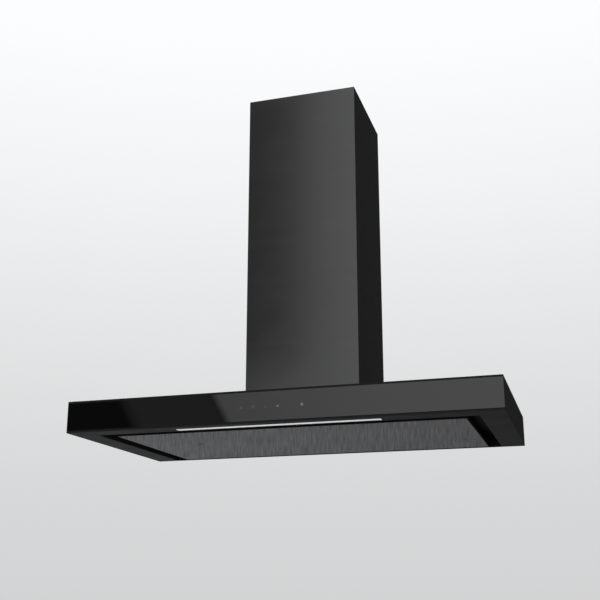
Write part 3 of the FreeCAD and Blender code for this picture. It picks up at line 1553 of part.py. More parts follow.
def half_disc(side):
    """Return a drawer of a flap's plate on the wall side (1) or the front side (-1)."""
    def draw(sketch):
        start, end = (0, 180) if side > 0 else (180, 360)
        curve = arc(sketch, "0", "outlet_y", "flap_radius", start, end)
        edge_y = "outlet_y + %d * flap_inner_edge" % side
        half = "sqrt(flap_radius * flap_radius - flap_inner_edge * flap_inner_edge)"
        first = (half, edge_y) if side > 0 else ("-" + half, edge_y)
        last = ("-" + half, edge_y) if side > 0 else (half, edge_y)
        line = sketch.addGeometry(Part.LineSegment(
            Vector(number(last[0]), number(last[1]), 0), Vector(number(first[0]), number(first[1]), 0)))
        sketch.addConstraint(Sketcher.Constraint("Coincident", line, 2, curve, 1))
        sketch.addConstraint(Sketcher.Constraint("Coincident", line, 1, curve, 2))
        sketch.addConstraint(Sketcher.Constraint("Horizontal", line))
        bind(sketch, Sketcher.Constraint("DistanceY", -1, 1, line, 1, number(edge_y)), edge_y)
    return draw


def make_flap(name, side, knuckle_middles):
    """One half-round flap with its own knuckles on the shared rod."""
    body = new_body("flap_" + name)
    plate_top = "flap_low + flap_sheet"
    extrude(body, "XY", [half_disc(side)], "flap_low", plate_top)
    for middle in knuckle_middles:
        knuckle_x = about(middle, "flap_knuckle_length / 2")
        near = "outlet_y"
        far = "outlet_y + %d * (flap_inner_edge + flap_sheet)" % side
        tongue_y = (near, far) if side > 0 else (far, near)
        add_block(body, knuckle_x, tongue_y, ("flap_low", plate_top))
        extrude(body, "YZ", [circle("outlet_y", "flap_z", "flap_knuckle_radius")], *knuckle_x)
    for middle in knuckle_middles:
        knuckle_x = about(middle, "flap_knuckle_length / 2")
        hole = circle("outlet_y", "flap_z", "flap_rod_radius + running_fit")
        extrude(body, "YZ", [hole], *knuckle_x, cut=True)


def make_flaps():
    """Both backdraught flaps and the rod that they swing on."""
    shift = "(flap_knuckle_length / 2 + flap_knuckle_gap)"
    make_flap("front", -1, ["-flap_knuckle_offset - " + shift, "flap_knuckle_offset - " + shift])
    make_flap("rear", 1, ["-flap_knuckle_offset + " + shift, "flap_knuckle_offset + " + shift])
    pin = rod(("outlet_y", "flap_z"), "X", "flap_rod_radius", *both("outlet_radius"))
    pin.Label = "flap_rod"
    pieces.append(pin)


# --------------------------------------------------------------------------------------
# Build, check and write
# --------------------------------------------------------------------------------------

def build():
    """Make every sub-part."""
    fill_sheets()
    make_canopy_shell()
    make_front_rail()
    make_front_glass()
    make_rail_nuts()
    make_light()
    make_light_driver()
    make_touch_control()
    make_liner()
    make_filters()
    make_suction_panel()
    make_panel_stiffener()
    make_hinges()
    make_catches()
    make_lower_chimney()
    make_upper_chimney()
    make_chimney_bracket()
    make_bracket_screws()
    make_motor_box()
    make_box_screws()
    make_mounting_plate()
    make_wall_hook("left", "-hook_offset")
    make_wall_hook("right", "hook_offset")
    make_scroll_half("left", -1)
    make_scroll_half("right", 1)
    make_scroll_screws()
    make_impeller()
    make_motor()
    make_capacitor()
    make_terminal_box()
    make_outlet_collar()
    make_collar_screws()
    make_flaps()
    doc.removeObject(scratch.Name)
    doc.recompute()


def check():
    """Stop if any object failed or any sub-part has no valid solid."""
    faults = []
    for item in doc.Objects:
        if "Invalid" in item.State or "Error" in item.State:
            faults.append("%s (%s) is %s" % (item.Name, item.Label, item.State))
    for piece in pieces:
        shape = piece.Shape
        if shape.isNull() or not shape.isValid() or not shape.Solids:
            faults.append("%s has no valid solid" % piece.Label)
    if faults:
        raise RuntimeError("; ".join(faults))


def write():
    """Write each sub-part to its own file."""
    os.makedirs("parts", exist_ok=True)
    for piece in pieces:
        piece.Shape.exportStep("parts/%s.step" % piece.Label)
        solids = len(piece.Shape.Solids)
        print("%-24s %d solid(s) %12.1f mm3" % (piece.Label, solids, piece.Shape.Volume))


build()
check()
write()
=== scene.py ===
"""Wall chimney hood, dressed: finishes for every node, finer pieces, studio and camera.

Everything is in metres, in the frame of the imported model: X runs along the canopy, -Y is
the glass front, +Z is up and the canopy's underside is at height 0.
"""

import json
import logging
import math
from dataclasses import dataclass
from enum import Enum
from typing import Any, Sequence

import bmesh
import bpy
import mathutils
import numpy as np
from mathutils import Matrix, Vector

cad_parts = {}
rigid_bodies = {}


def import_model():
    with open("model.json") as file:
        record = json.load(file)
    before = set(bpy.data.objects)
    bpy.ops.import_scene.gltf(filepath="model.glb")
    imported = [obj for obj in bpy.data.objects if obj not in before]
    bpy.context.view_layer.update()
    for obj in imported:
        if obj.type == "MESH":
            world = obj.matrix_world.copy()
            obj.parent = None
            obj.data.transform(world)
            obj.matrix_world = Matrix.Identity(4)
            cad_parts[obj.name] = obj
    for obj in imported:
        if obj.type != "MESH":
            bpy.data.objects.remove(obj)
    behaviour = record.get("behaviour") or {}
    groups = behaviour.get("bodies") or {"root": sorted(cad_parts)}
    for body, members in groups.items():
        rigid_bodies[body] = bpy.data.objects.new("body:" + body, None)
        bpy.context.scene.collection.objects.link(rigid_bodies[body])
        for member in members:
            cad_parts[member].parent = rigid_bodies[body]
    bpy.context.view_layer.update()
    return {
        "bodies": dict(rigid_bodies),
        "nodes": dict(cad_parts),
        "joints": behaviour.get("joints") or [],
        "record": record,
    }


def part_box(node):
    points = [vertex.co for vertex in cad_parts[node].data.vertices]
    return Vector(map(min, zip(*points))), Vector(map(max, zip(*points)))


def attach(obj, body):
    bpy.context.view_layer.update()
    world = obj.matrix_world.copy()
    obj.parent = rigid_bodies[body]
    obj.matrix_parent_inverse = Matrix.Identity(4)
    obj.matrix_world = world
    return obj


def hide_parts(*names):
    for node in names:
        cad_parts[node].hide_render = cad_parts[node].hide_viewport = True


log = logging.getLogger("hood")

Colour = tuple[float, float, float]
Triple = tuple[float, float, float]
Stops = Sequence[tuple[float, float]]

FULL_TURN = 2.0 * math.pi
# Phase that a band texture gains in one unit of its scale.
BAND_RATE = 20.0


# --------------------------------------------------------------------------------------
# Meshes worked out as arrays
# --------------------------------------------------------------------------------------

def piece_from(name: str, points: np.ndarray, faces: list[list[int]]) -> bpy.types.Object:
    """Make an object at the origin out of points and faces.

    Args:
        name: the piece's name.
        points: an array of shape (n, 3).
        faces: lists of point numbers, each going round its face.

    Returns:
        The new object, linked to the scene, with its normals pointing outward.
    """
    mesh = bpy.data.meshes.new(name)
    mesh.from_pydata(points.reshape(-1, 3).tolist(), [], faces)
    mesh.update()
    item = bpy.data.objects.new(name, mesh)
    bpy.context.scene.collection.objects.link(item)
    turn_outward(item)
    return item


def turn_outward(item: bpy.types.Object) -> None:
    """Turn all faces of a closed mesh outward."""
    work = bmesh.new()
    work.from_mesh(item.data)
    bmesh.ops.recalc_face_normals(work, faces=work.faces)
    work.to_mesh(item.data)
    work.free()


def skin(rings: np.ndarray, first: int = 0) -> list[list[int]]:
    """Faces over closed rings of points: quads from each ring to the next, a cap at each end.

    Args:
        rings: an array of shape (rings, points in a ring, 3).
        first: the number of the first point in the mesh.

    Returns:
        The faces as lists of point numbers.
    """
    count, around = rings.shape[:2]
    row = np.arange(count - 1)[:, None] * around
    column = np.arange(around)[None, :]
    following = (column + 1) % around
    quads = np.stack(
        [row + column, row + following, row + around + following, row + around + column], axis=-1
    ).reshape(-1, 4) + first
    caps = [
        (np.arange(around)[::-1] + first).tolist(),
        (np.arange(around) + (count - 1) * around + first).tolist(),
    ]
    return quads.tolist() + caps


def rounded_loop(width: float, height: float, radius: float, steps: int = 6) -> np.ndarray:
    """Outline of a rectangle with round corners, centred on zero.

    Each corner is a quarter circle of the radius, whose centre is that far inside both
    sides; the four quarters in turn make the loop.

    Args:
        width: size along u.
        height: size along v.
        radius: radius of the corners.
        steps: points along a corner.

    Returns:
        An array of shape (4 * steps, 2).
    """
    turn = np.linspace(0.0, FULL_TURN / 4, steps)
    quarter = np.arange(4)[:, None] * FULL_TURN / 4
    angle = quarter + turn[None, :]
    side_u = np.array([1, -1, -1, 1])[:, None] * (width / 2 - radius)
    side_v = np.array([1, 1, -1, -1])[:, None] * (height / 2 - radius)
    loop = np.stack([side_u + radius * np.cos(angle), side_v + radius * np.sin(angle)], axis=-1)
    return loop.reshape(-1, 2)


def pane(low: np.ndarray, high: np.ndarray, corner: float, edge: float,
         steps: int = 5) -> np.ndarray:
    """Rings of an upright pane with round corners and round edges that fills a box.

    Going from the front face to the back one, a ring is the outline drawn in by
    edge * (1 - sin a) while the depth grows by edge * (1 - cos a), with a from 0 to a
    quarter turn, and the same backwards at the back face.

    Args:
        low: lowest corner of the box.
        high: highest corner of the box.
        corner: radius of the outline's corners.
        edge: radius of the edge between outline and face.
        steps: rings along one edge.

    Returns:
        An array of shape (2 * steps, points in a ring, 3).
    """
    width, depth, height = high - low
    angle = np.linspace(0.0, FULL_TURN / 4, steps)
    inset = edge * (1.0 - np.sin(angle))
    rise = edge * (1.0 - np.cos(angle))
    insets = np.concatenate([inset, inset[::-1]])
    depths = np.concatenate([rise, depth - rise[::-1]])
    loop = rounded_loop(width, height, corner)
    reach = np.array([width / 2, height / 2])
    shrink = (reach - insets[:, None]) / reach
    rings = np.empty((len(insets), len(loop), 3))
    rings[..., [0, 2]] = loop[None] * shrink[:, None, :]
    rings[..., 1] = depths[:, None] - depth / 2
    return rings + (low + high) / 2


def ribbon(path: np.ndarray, side: np.ndarray, lift: np.ndarray, width: float,
           thickness: float) -> np.ndarray:
    """Rings of a flat strip along a path.

    Each ring is a rectangle around its path point: half the width to either side, half
    the thickness along the lift.

    Args:
        path: points of shape (n, 3).
        side: unit vectors across the strip, shape (n, 3).
        lift: unit vectors through the strip, shape (n, 3).
        width: width of the strip.
        thickness: thickness of the strip.

    Returns:
        An array of shape (n, 4, 3).
    """
    across = side * width / 2
    through = lift * thickness / 2
    return np.stack([path + across + through, path - across + through,
                     path - across - through, path + across - through], axis=1)


def merged(parts: Sequence[np.ndarray]) -> tuple[np.ndarray, list[list[int]]]:
    """Join several stacks of rings to one list of points and faces.

    Args:
        parts: arrays of shape (rings, points in a ring, 3).

    Returns:
        All points of shape (n, 3) and all faces.
    """
    points: list[np.ndarray] = []
    faces: list[list[int]] = []
    first = 0
    for rings in parts:
        points.append(rings.reshape(-1, 3))
        faces += skin(rings, first)
        first += rings.shape[0] * rings.shape[1]
    return np.concatenate(points), faces


# --------------------------------------------------------------------------------------
# Finishes
# --------------------------------------------------------------------------------------

class Grain(Enum):
    """How a texture is stretched: shares of its scale along X, Y and Z."""

    EVEN = (1.0, 1.0, 1.0)
    ALONG_X = (0.012, 1.0, 1.0)


class Tree:
    """The node tree of one material, with short calls for the usual nodes."""

    def __init__(self, name: str) -> None:
        """Start a material with a Principled shader."""
        self.material = bpy.data.materials.new(name)
        self.material.use_nodes = True
        self.nodes = self.material.node_tree.nodes
        self.links = self.material.node_tree.links
        self.shader = self.nodes["Principled BSDF"]
        self.place = self.nodes.new("ShaderNodeTexCoord").outputs["Object"]

    def join(self, source: Any, target: Any) -> None:
        """Link an output socket to an input socket."""
        self.links.new(source, target)

    def scaled(self, grain: Grain, scale: float) -> Any:
        """Return the piece's own coordinates times the grain's scales."""
        mapping = self.nodes.new("ShaderNodeMapping")
        mapping.inputs["Scale"].default_value = [scale * part for part in grain.value]
        self.join(self.place, mapping.inputs["Vector"])
        return mapping.outputs["Vector"]

    def noise(self, scale: float, grain: Grain = Grain.EVEN, detail: float = 3.0,
              roughness: float = 0.5) -> Any:
        """Return a noise value between 0 and 1.

        Args:
            scale: cells per metre.
            grain: how the cells are stretched.
            detail: octaves.
            roughness: weight of the finer octaves.

        Returns:
            The value's socket.
        """
        node = self.nodes.new("ShaderNodeTexNoise")
        node.inputs["Scale"].default_value = 1.0
        node.inputs["Detail"].default_value = detail
        node.inputs["Roughness"].default_value = roughness
        self.join(self.scaled(grain, scale), node.inputs["Vector"])
        return node.outputs["Fac"]

    def cells(self, scale: float, feature: str = "F1") -> Any:
        """Return the Voronoi node of a scale, in cells per metre."""
        node = self.nodes.new("ShaderNodeTexVoronoi")
        node.feature = feature
        node.inputs["Scale"].default_value = 1.0
        self.join(self.scaled(Grain.EVEN, scale), node.inputs["Vector"])
        return node

    def parts(self) -> Any:
        """Return the sockets of the piece's own coordinates x, y and z."""
        split = self.nodes.new("ShaderNodeSeparateXYZ")
        self.join(self.place, split.inputs[0])
        return split.outputs

    def spread(self, value: Any, low: float, high: float, start: float = 0.0,
               end: float = 1.0) -> Any:
        """Map a value from start..end to low..high, held at both ends."""
        node = self.nodes.new("ShaderNodeMapRange")
        node.clamp = True
        limits = {"From Min": start, "From Max": end, "To Min": low, "To Max": high}
        for key, number in limits.items():
            node.inputs[key].default_value = number
        self.join(value, node.inputs["Value"])
        return node.outputs["Result"]

    def sum(self, first: Any, second: Any, operation: str = "ADD") -> Any:
        """Combine two values by an operation of the Math node."""
        node = self.nodes.new("ShaderNodeMath")
        node.operation = operation
        self.join(first, node.inputs[0])
        if isinstance(second, (int, float)):
            node.inputs[1].default_value = second
        else:
            self.join(second, node.inputs[1])
        return node.outputs[0]

    def weighted(self, first: Any, share: float, second: Any) -> Any:
        """Return a share of the first value plus the rest of the second."""
        return self.sum(self.sum(first, share, "MULTIPLY"),
                        self.sum(second, round(1.0 - share, 6), "MULTIPLY"))

    def blend(self, factor: Any, low: Any, high: Any) -> Any:
        """Blend two colours by a factor, each a colour or a socket."""
        node = self.nodes.new("ShaderNodeMix")
        node.data_type = "RGBA"
        self.join(factor, node.inputs[0])
        for place, colour in ((6, low), (7, high)):
            if isinstance(colour, tuple):
                node.inputs[place].default_value = (*colour, 1.0)
            else:
                self.join(colour, node.inputs[place])
        return node.outputs[2]

    def bump(self, height: Any, distance: float, under: Any = None) -> Any:
        """Return a normal that is tilted by a height.

        Args:
            height: the height's socket, 0 to 1.
            distance: how high 1 stands, in metres.
            under: a normal that this one adds to.

        Returns:
            The normal's socket.
        """
        node = self.nodes.new("ShaderNodeBump")
        node.inputs["Distance"].default_value = distance
        self.join(height, node.inputs["Height"])
        if under is not None:
            self.join(under, node.inputs["Normal"])
        return node.outputs["Normal"]

    def rounded_edges(self, radius: float) -> Any:
        """Return a normal that rounds the piece's sharp edges."""
        node = self.nodes.new("ShaderNodeBevel")
        node.samples = 4
        node.inputs["Radius"].default_value = radius
        return node.outputs["Normal"]

    def paint(self, factor: Any, colour: Colour, darker: float, paler: float) -> None:
        """Let the base colour follow a factor.

        Args:
            factor: 0 where it is darkest, 1 where it is palest.
            colour: the colour between both.
            darker: the share taken off at 0.
            paler: the share put on at 1.
        """
        self.join(self.blend(factor, lighter(colour, -darker), lighter(colour, paler)),
                  self.shader.inputs["Base Color"])

    def dull(self, factor: Any, low: float, high: float, start: float = 0.0,
             end: float = 1.0) -> None:
        """Let the roughness run from low to high while the factor runs from start to end."""
        self.join(self.spread(factor, low, high, start, end), self.shader.inputs["Roughness"])

    def relief(self, height: Any, distance: float, edge: float = 0.0) -> None:
        """Lay a bump, over edges rounded by a radius if there is one."""
        under = self.rounded_edges(edge) if edge else None
        self.join(self.bump(height, distance, under), self.shader.inputs["Normal"])

    def fix(self, **values: float) -> None:
        """Set sockets of the shader, with _ for spaces in their names."""
        for key, value in values.items():
            self.shader.inputs[key.replace("_", " ")].default_value = value


def lighter(colour: Colour, share: float) -> Colour:
    """Return a colour times one plus a share, held under 1."""
    return tuple(min(1.0, part * (1.0 + share)) for part in colour)


@dataclass(frozen=True)
class Finish:
    """A surface finish, made to a material once and then shared."""

    name: str
    slot: str
    colour: Colour
    roughness: float

    def material(self) -> bpy.types.Material:
        """Return this finish's material, making it at the first call."""
        known = bpy.data.materials.get(self.name)
        if known is not None:
            return known
        tree = Tree(self.name)
        self.lay(tree)
        return tree.material

    def lay(self, tree: Tree) -> None:
        """Build the finish's nodes; each kind of finish has its own."""
        raise NotImplementedError


@dataclass(frozen=True)
class PowderCoat(Finish):
    """Baked paint: fine orange peel, cloudy gloss, faint handling marks."""

    peel: float = 0.00004
    specular: float = 0.5
    swing: float = 0.07
    edge: float = 0.0005
    unevenness: float = 0.22
    cloud_scale: float = 9.0
    speck_scale: float = 1500.0
    wipe_scale: float = 60.0
    peel_scale: float = 700.0

    def lay(self, tree: Tree) -> None:
        """Lay colour, gloss and peel."""
        cloud = tree.noise(self.cloud_scale, detail=4.0, roughness=0.6)
        speck = tree.noise(self.speck_scale, detail=1.0)
        tree.paint(tree.weighted(cloud, 0.75, speck), self.colour, self.unevenness,
                   self.unevenness)
        wipe = tree.noise(self.wipe_scale, Grain.ALONG_X, detail=4.0)
        tree.dull(tree.weighted(cloud, 0.6, wipe), self.roughness - self.swing,
                  self.roughness + self.swing, 0.3, 0.7)
        tree.relief(tree.noise(self.peel_scale, detail=2.0), self.peel, self.edge)
        tree.fix(Specular_IOR_Level=self.specular)


@dataclass(frozen=True)
class ReflectionStreakPanel(Finish):
    """Dark coated sheet with painted reflection streaks: wavy lines and a few darker scores.

    A line is where (x - x0) / (y - y0) plus a small wave along Y is constant, so the lines
    fan out from the point (x0, y0), close to where the camera stands, well in front of the
    panel, and stand upright in its view like reflections drawn out on rubbed metal. They are
    painted into the colour: partly the sheet's rubbed grain, partly painted reflection. The
    folded rims and the inside, above the visible face's height, are made nearly black.
    """

    # Nearly black colour above the visible face's height: the folded rims and the inside.
    above_face_colour: Colour = (0.004, 0.004, 0.004)
    origin: tuple[float, float] = (0.625, -2.08)
    pitch: float = 0.0017
    score_pitch: float = 0.0017 / 0.16
    wave: float = 0.0012
    wave_scale: float = 22.0
    cloud_scale: float = 7.0
    line_run: float = 6.0
    score_run: float = 9.0
    score_depth: float = 0.5
    cloud_depth: float = 0.06
    contrast: float = 0.32
    visible_face: float = 0.0010
    swing: float = 0.08
    relief: float = 0.00006
    edge: float = 0.0006
    specular: float = 0.25

    def lay(self, tree: Tree) -> None:
        """Lay the fan of painted reflection streaks, the darker scores and the gloss."""
        x, y, z = tree.parts()
        away = tree.sum(y, -self.origin[1])
        slope = tree.sum(tree.sum(x, -self.origin[0]), away, "DIVIDE")
        ripple = tree.sum(tree.noise(self.wave_scale, detail=2.0), -0.5)
        fan = tree.sum(slope, tree.sum(ripple, self.wave * 2.0, "MULTIPLY"))
        lines = self.across(tree, fan, away, self.pitch, self.line_run)
        broad = self.across(tree, fan, away, self.score_pitch, self.score_run)
        score = tree.spread(broad, 0.0, 1.0, 0.66, 0.74)
        # Painted reflection streaks: fine lines and darker scores, set into the base colour
        # below.
        shade = tree.sum(tree.spread(lines, 0.0, 1.0, 0.28, 0.72),
                         tree.sum(score, -self.score_depth, "MULTIPLY"))
        cloud = tree.noise(self.cloud_scale, detail=3.0)
        shade = tree.sum(shade, tree.spread(cloud, -self.cloud_depth, self.cloud_depth, 0.3, 0.7))
        # The base colour carries the painted reflection streaks, partly the sheet's rubbed grain.
        face = tree.blend(shade, lighter(self.colour, -self.contrast),
                          lighter(self.colour, self.contrast))
        inside = tree.spread(z, 0.0, 1.0, self.visible_face, self.visible_face * 1.6)
        tree.join(tree.blend(inside, face, self.above_face_colour), tree.shader.inputs["Base Color"])
        tree.dull(shade, self.roughness + self.swing, self.roughness - self.swing)
        tree.relief(shade, self.relief, self.edge)
        tree.fix(Specular_IOR_Level=self.specular)

    @staticmethod
    def across(tree: Tree, fan: Any, away: Any, pitch: float, run: float) -> Any:
        """Return noise that is fine across the fan and long along it.

        Args:
            tree: the material's tree.
            fan: the value that is constant along a line.
            away: the distance along Y.
            pitch: the fan's change from one cell to the next.
            run: cells per metre along the lines.

        Returns:
            The noise value's socket.
        """
        point = tree.nodes.new("ShaderNodeCombineXYZ")
        tree.join(tree.sum(fan, 1.0 / pitch, "MULTIPLY"), point.inputs[0])
        tree.join(tree.sum(away, run, "MULTIPLY"), point.inputs[1])
        node = tree.nodes.new("ShaderNodeTexNoise")
        node.inputs["Scale"].default_value = 1.0
        node.inputs["Detail"].default_value = 3.0
        tree.join(point.outputs[0], node.inputs["Vector"])
        return node.outputs["Fac"]


@dataclass(frozen=True)
class BlackGlass(Finish):
    """Glass with black print behind it: a clean mirror with faint wiped patches."""

    index: float = 1.52
    smear: float = 0.05
    unevenness: float = 0.15
    patch_scale: float = 14.0
    wipe_scale: float = 90.0
    wave_scale: float = 3.0
    wave_height: float = 0.00002

    def lay(self, tree: Tree) -> None:
        """Lay the print's depth and the wiped patches."""
        patch = tree.noise(self.patch_scale, detail=5.0, roughness=0.65)
        wiped = tree.noise(self.wipe_scale, Grain.ALONG_X, detail=3.0)
        tree.dull(tree.sum(patch, wiped, "MULTIPLY"), self.roughness,
                  self.roughness + self.smear, 0.30, 0.50)
        tree.paint(patch, self.colour, self.unevenness, self.unevenness)
        tree.relief(tree.noise(self.wave_scale, detail=1.0), self.wave_height)
        tree.fix(IOR=self.index)


@dataclass(frozen=True)
class Plated(Finish):
    """Zinc plating on a fastener or bracket: clouded metal with small pits."""

    cloud_scale: float = 120.0
    pit_scale: float = 2200.0
    pit_depth: float = 0.00002
    edge: float = 0.0003

    def lay(self, tree: Tree) -> None:
        """Lay the clouds and pits."""
        cloud = tree.noise(self.cloud_scale, detail=4.0, roughness=0.7)
        tree.paint(cloud, self.colour, 0.28, 0.15)
        tree.dull(cloud, self.roughness + 0.12, self.roughness - 0.08, 0.35, 0.65)
        tree.relief(tree.noise(self.pit_scale, detail=2.0), self.pit_depth, self.edge)
        tree.fix(Metallic=1.0)


@dataclass(frozen=True)
class Galvanised(Finish):
    """Hot-dipped sheet: zinc flowers of differing grey, dull and slightly dented."""

    flower_scale: float = 95.0
    feather_scale: float = 420.0
    swing: float = 0.12
    dent_depth: float = 0.00003
    edge: float = 0.0005
    metallic: float = 0.9

    def lay(self, tree: Tree) -> None:
        """Lay the flowers."""
        flowers = tree.cells(self.flower_scale).outputs["Color"]
        feather = tree.noise(self.feather_scale, detail=3.0)
        shade = tree.weighted(flowers, 0.7, feather)
        tree.paint(shade, self.colour, 0.3, 0.2)
        tree.dull(shade, self.roughness - self.swing, self.roughness + self.swing)
        tree.relief(shade, self.dent_depth, self.edge)
        tree.fix(Metallic=self.metallic)


@dataclass(frozen=True)
class DrawnMetal(Finish):
    """Bare drawn or turned metal: fine lines along one way and soft clouds."""

    grain: Grain = Grain.ALONG_X
    line_scale: float = 1800.0
    cloud_scale: float = 40.0
    line_depth: float = 0.00001
    edge: float = 0.0003

    def lay(self, tree: Tree) -> None:
        """Lay the lines and clouds."""
        lines = tree.noise(self.line_scale, self.grain, detail=2.0)
        shade = tree.weighted(lines, 0.6, tree.noise(self.cloud_scale, detail=4.0))
        tree.paint(shade, self.colour, 0.25, 0.15)
        tree.dull(shade, self.roughness - 0.08, self.roughness + 0.10, 0.3, 0.7)
        tree.relief(lines, self.line_depth, self.edge)
        tree.fix(Metallic=1.0)


@dataclass(frozen=True)
class Moulded(Finish):
    """Moulded plastic or rubber: an eroded texture, slightly uneven colour."""

    texture: float = 0.00004
    grain_scale: float = 1300.0
    cloud_scale: float = 18.0
    unevenness: float = 0.15
    swing: float = 0.06
    edge: float = 0.0004

    def lay(self, tree: Tree) -> None:
        """Lay the erosion and the unevenness."""
        cloud = tree.noise(self.cloud_scale, detail=3.0)
        tree.paint(cloud, self.colour, self.unevenness, self.unevenness)
        tree.dull(cloud, self.roughness - self.swing, self.roughness + self.swing, 0.3, 0.7)
        grains = tree.cells(self.grain_scale, "SMOOTH_F1").outputs["Distance"]
        tree.relief(grains, self.texture, self.edge)


@dataclass(frozen=True)
class Laminate(Finish):
    """Circuit board: lacquer over glass weave, with copper tracks showing as faint steps."""

    track: Colour = (0.62, 0.64, 0.60)
    weave_scale: float = 900.0
    track_scale: float = 70.0
    weave_depth: float = 0.00001
    track_height: float = 0.00004

    def lay(self, tree: Tree) -> None:
        """Lay the weave and the tracks."""
        tracks = tree.cells(self.track_scale, "DISTANCE_TO_EDGE").outputs["Distance"]
        line = tree.spread(tracks, 1.0, 0.0, 0.04, 0.07)
        tree.join(tree.blend(line, self.colour, self.track), tree.shader.inputs["Base Color"])
        tree.dull(line, self.roughness, self.roughness - 0.12)
        weave = tree.cells(self.weave_scale).outputs["Distance"]
        raised = tree.bump(line, self.track_height)
        tree.join(tree.bump(weave, self.weave_depth, raised), tree.shader.inputs["Normal"])


@dataclass(frozen=True)
class LitOpal(Finish):
    """Opal cover lit from behind: a little weaker between the emitters and at both edges."""

    strength: float = 0.60
    pitch: float = 0.017
    middle: float = -0.2105
    reach: float = 0.0065
    glow: Colour = (1.0, 0.985, 0.95)
    cloud_scale: float = 400.0
    texture: float = 0.00001

    def lay(self, tree: Tree) -> None:
        """Lay the light and the opal's fine texture."""
        wave = tree.nodes.new("ShaderNodeTexWave")
        wave.wave_type = "BANDS"
        wave.bands_direction = "X"
        wave.inputs["Scale"].default_value = FULL_TURN / (BAND_RATE * self.pitch)
        tree.join(tree.place, wave.inputs["Vector"])
        along = tree.spread(wave.outputs["Fac"], self.strength * 0.96, self.strength)
        aside = tree.sum(tree.sum(tree.parts()[1], -self.middle), 0.0, "ABSOLUTE")
        fall = tree.spread(aside, 1.0, 0.3, self.reach * 0.35, self.reach)
        tree.join(tree.sum(along, fall, "MULTIPLY"), tree.shader.inputs["Emission Strength"])
        tree.shader.inputs["Emission Color"].default_value = (*self.glow, 1.0)
        cloud = tree.noise(self.cloud_scale, detail=2.0)
        tree.paint(cloud, self.colour, 0.04, 0.0)
        tree.dull(cloud, self.roughness - 0.04, self.roughness + 0.04)
        tree.relief(cloud, self.texture)


@dataclass(frozen=True)
class LitMark(Finish):
    """A touch mark behind the glass: grey print with a weak light behind it."""

    strength: float = 0.1
    glow: Colour = (0.92, 0.96, 1.0)
    grain_scale: float = 2500.0
    unevenness: float = 0.2

    def lay(self, tree: Tree) -> None:
        """Lay the print and its uneven light."""
        grains = tree.noise(self.grain_scale, detail=1.0)
        tree.paint(grains, self.colour, self.unevenness, self.unevenness)
        light = tree.spread(grains, self.strength * (1.0 - self.unevenness),
                            self.strength * (1.0 + self.unevenness))
        tree.join(light, tree.shader.inputs["Emission Strength"])
        tree.shader.inputs["Emission Color"].default_value = (*self.glow, 1.0)
        tree.dull(grains, self.roughness - 0.05, self.roughness + 0.05)


CANOPY_PAINT = PowderCoat("canopy_black_paint", "black_paint", (0.0115, 0.0115, 0.012), 0.52,
                          specular=0.08)
CHIMNEY_PAINT = PowderCoat("chimney_black_paint", "black_paint", (0.0055, 0.0055, 0.0058), 0.14,
                           peel=0.00001, specular=0.7, swing=0.025)
LINER_PAINT = PowderCoat("liner_black_paint", "dark_liner", (0.006, 0.006, 0.0065), 0.6,
                         specular=0.2)
# Suction panel: its colour carries painted reflection streaks besides its rubbed grain.
PANEL_COAT = ReflectionStreakPanel("panel_coat_painted_reflection_streaks", "dark_brushed_panel", (0.103, 0.103, 0.103), 0.45)
GLASS = BlackGlass("front_black_glass", "black_glass", (0.0026, 0.0026, 0.0027), 0.008)
ZINC = Plated("zinc_plate", "zinc_steel", (0.56, 0.56, 0.54), 0.36)
GALVANISED = Galvanised("galvanised_sheet", "galvanised_sheet", (0.50, 0.51, 0.52), 0.45)
FRAME_METAL = DrawnMetal("filter_frame_metal", "filter_aluminium", (0.70, 0.70, 0.70), 0.38)
MESH_METAL = Plated("filter_mesh_metal", "filter_mesh", (0.62, 0.62, 0.61), 0.34)
SHAFT_STEEL = DrawnMetal("ground_shaft", "shaft_steel", (0.68, 0.68, 0.67), 0.22)
MOTOR_CAN = DrawnMetal("motor_can", "motor_can", (0.52, 0.52, 0.52), 0.42, grain=Grain.EVEN,
                       line_scale=500.0)
BRONZE = Plated("sintered_bronze", "bearing_bronze", (0.55, 0.40, 0.20), 0.5)
DARK_PLASTIC = Moulded("dark_plastic", "inner_plastic", (0.03, 0.03, 0.031), 0.5)
LATCH_PLASTIC = Moulded("latch_plastic", "latch_plastic", (0.05, 0.05, 0.052), 0.45)
MAGNET_HOLDER = Moulded("magnet_holder", "magnet_black", (0.03, 0.03, 0.03), 0.55)
SCROLL_PLASTIC = Moulded("scroll_plastic", "scroll_plastic", (0.25, 0.26, 0.27), 0.55)
WHEEL_PLASTIC = Moulded("wheel_plastic", "impeller_plastic", (0.12, 0.12, 0.13), 0.48)
RUBBER = Moulded("rubber", "grommet_rubber", (0.028, 0.028, 0.028), 0.78, texture=0.00006)
CAPACITOR_CAN = Moulded("capacitor_can", "capacitor_can", (0.78, 0.78, 0.75), 0.35,
                        texture=0.00001)
FLAP_PLASTIC = Moulded("flap_plastic", "flap_plastic", (0.60, 0.60, 0.59), 0.5)
BOARD = Laminate("board_laminate", "board_laminate", (0.74, 0.75, 0.73), 0.4)
OPAL = LitOpal("lit_opal", "opal_light", (0.9, 0.91, 0.93), 0.4)
FAINT_MARK = LitMark("faint_mark", "black_glass", (0.02, 0.02, 0.021), 0.3, strength=0.008)
DIM_MARK = LitMark("dim_mark", "black_glass", (0.05, 0.05, 0.052), 0.3, strength=0.035)
BRIGHT_MARK = LitMark("bright_mark", "black_glass", (0.08, 0.08, 0.083), 0.3, strength=0.16)


# --------------------------------------------------------------------------------------
# The bench: where nodes get finishes and pieces get their places
# --------------------------------------------------------------------------------------

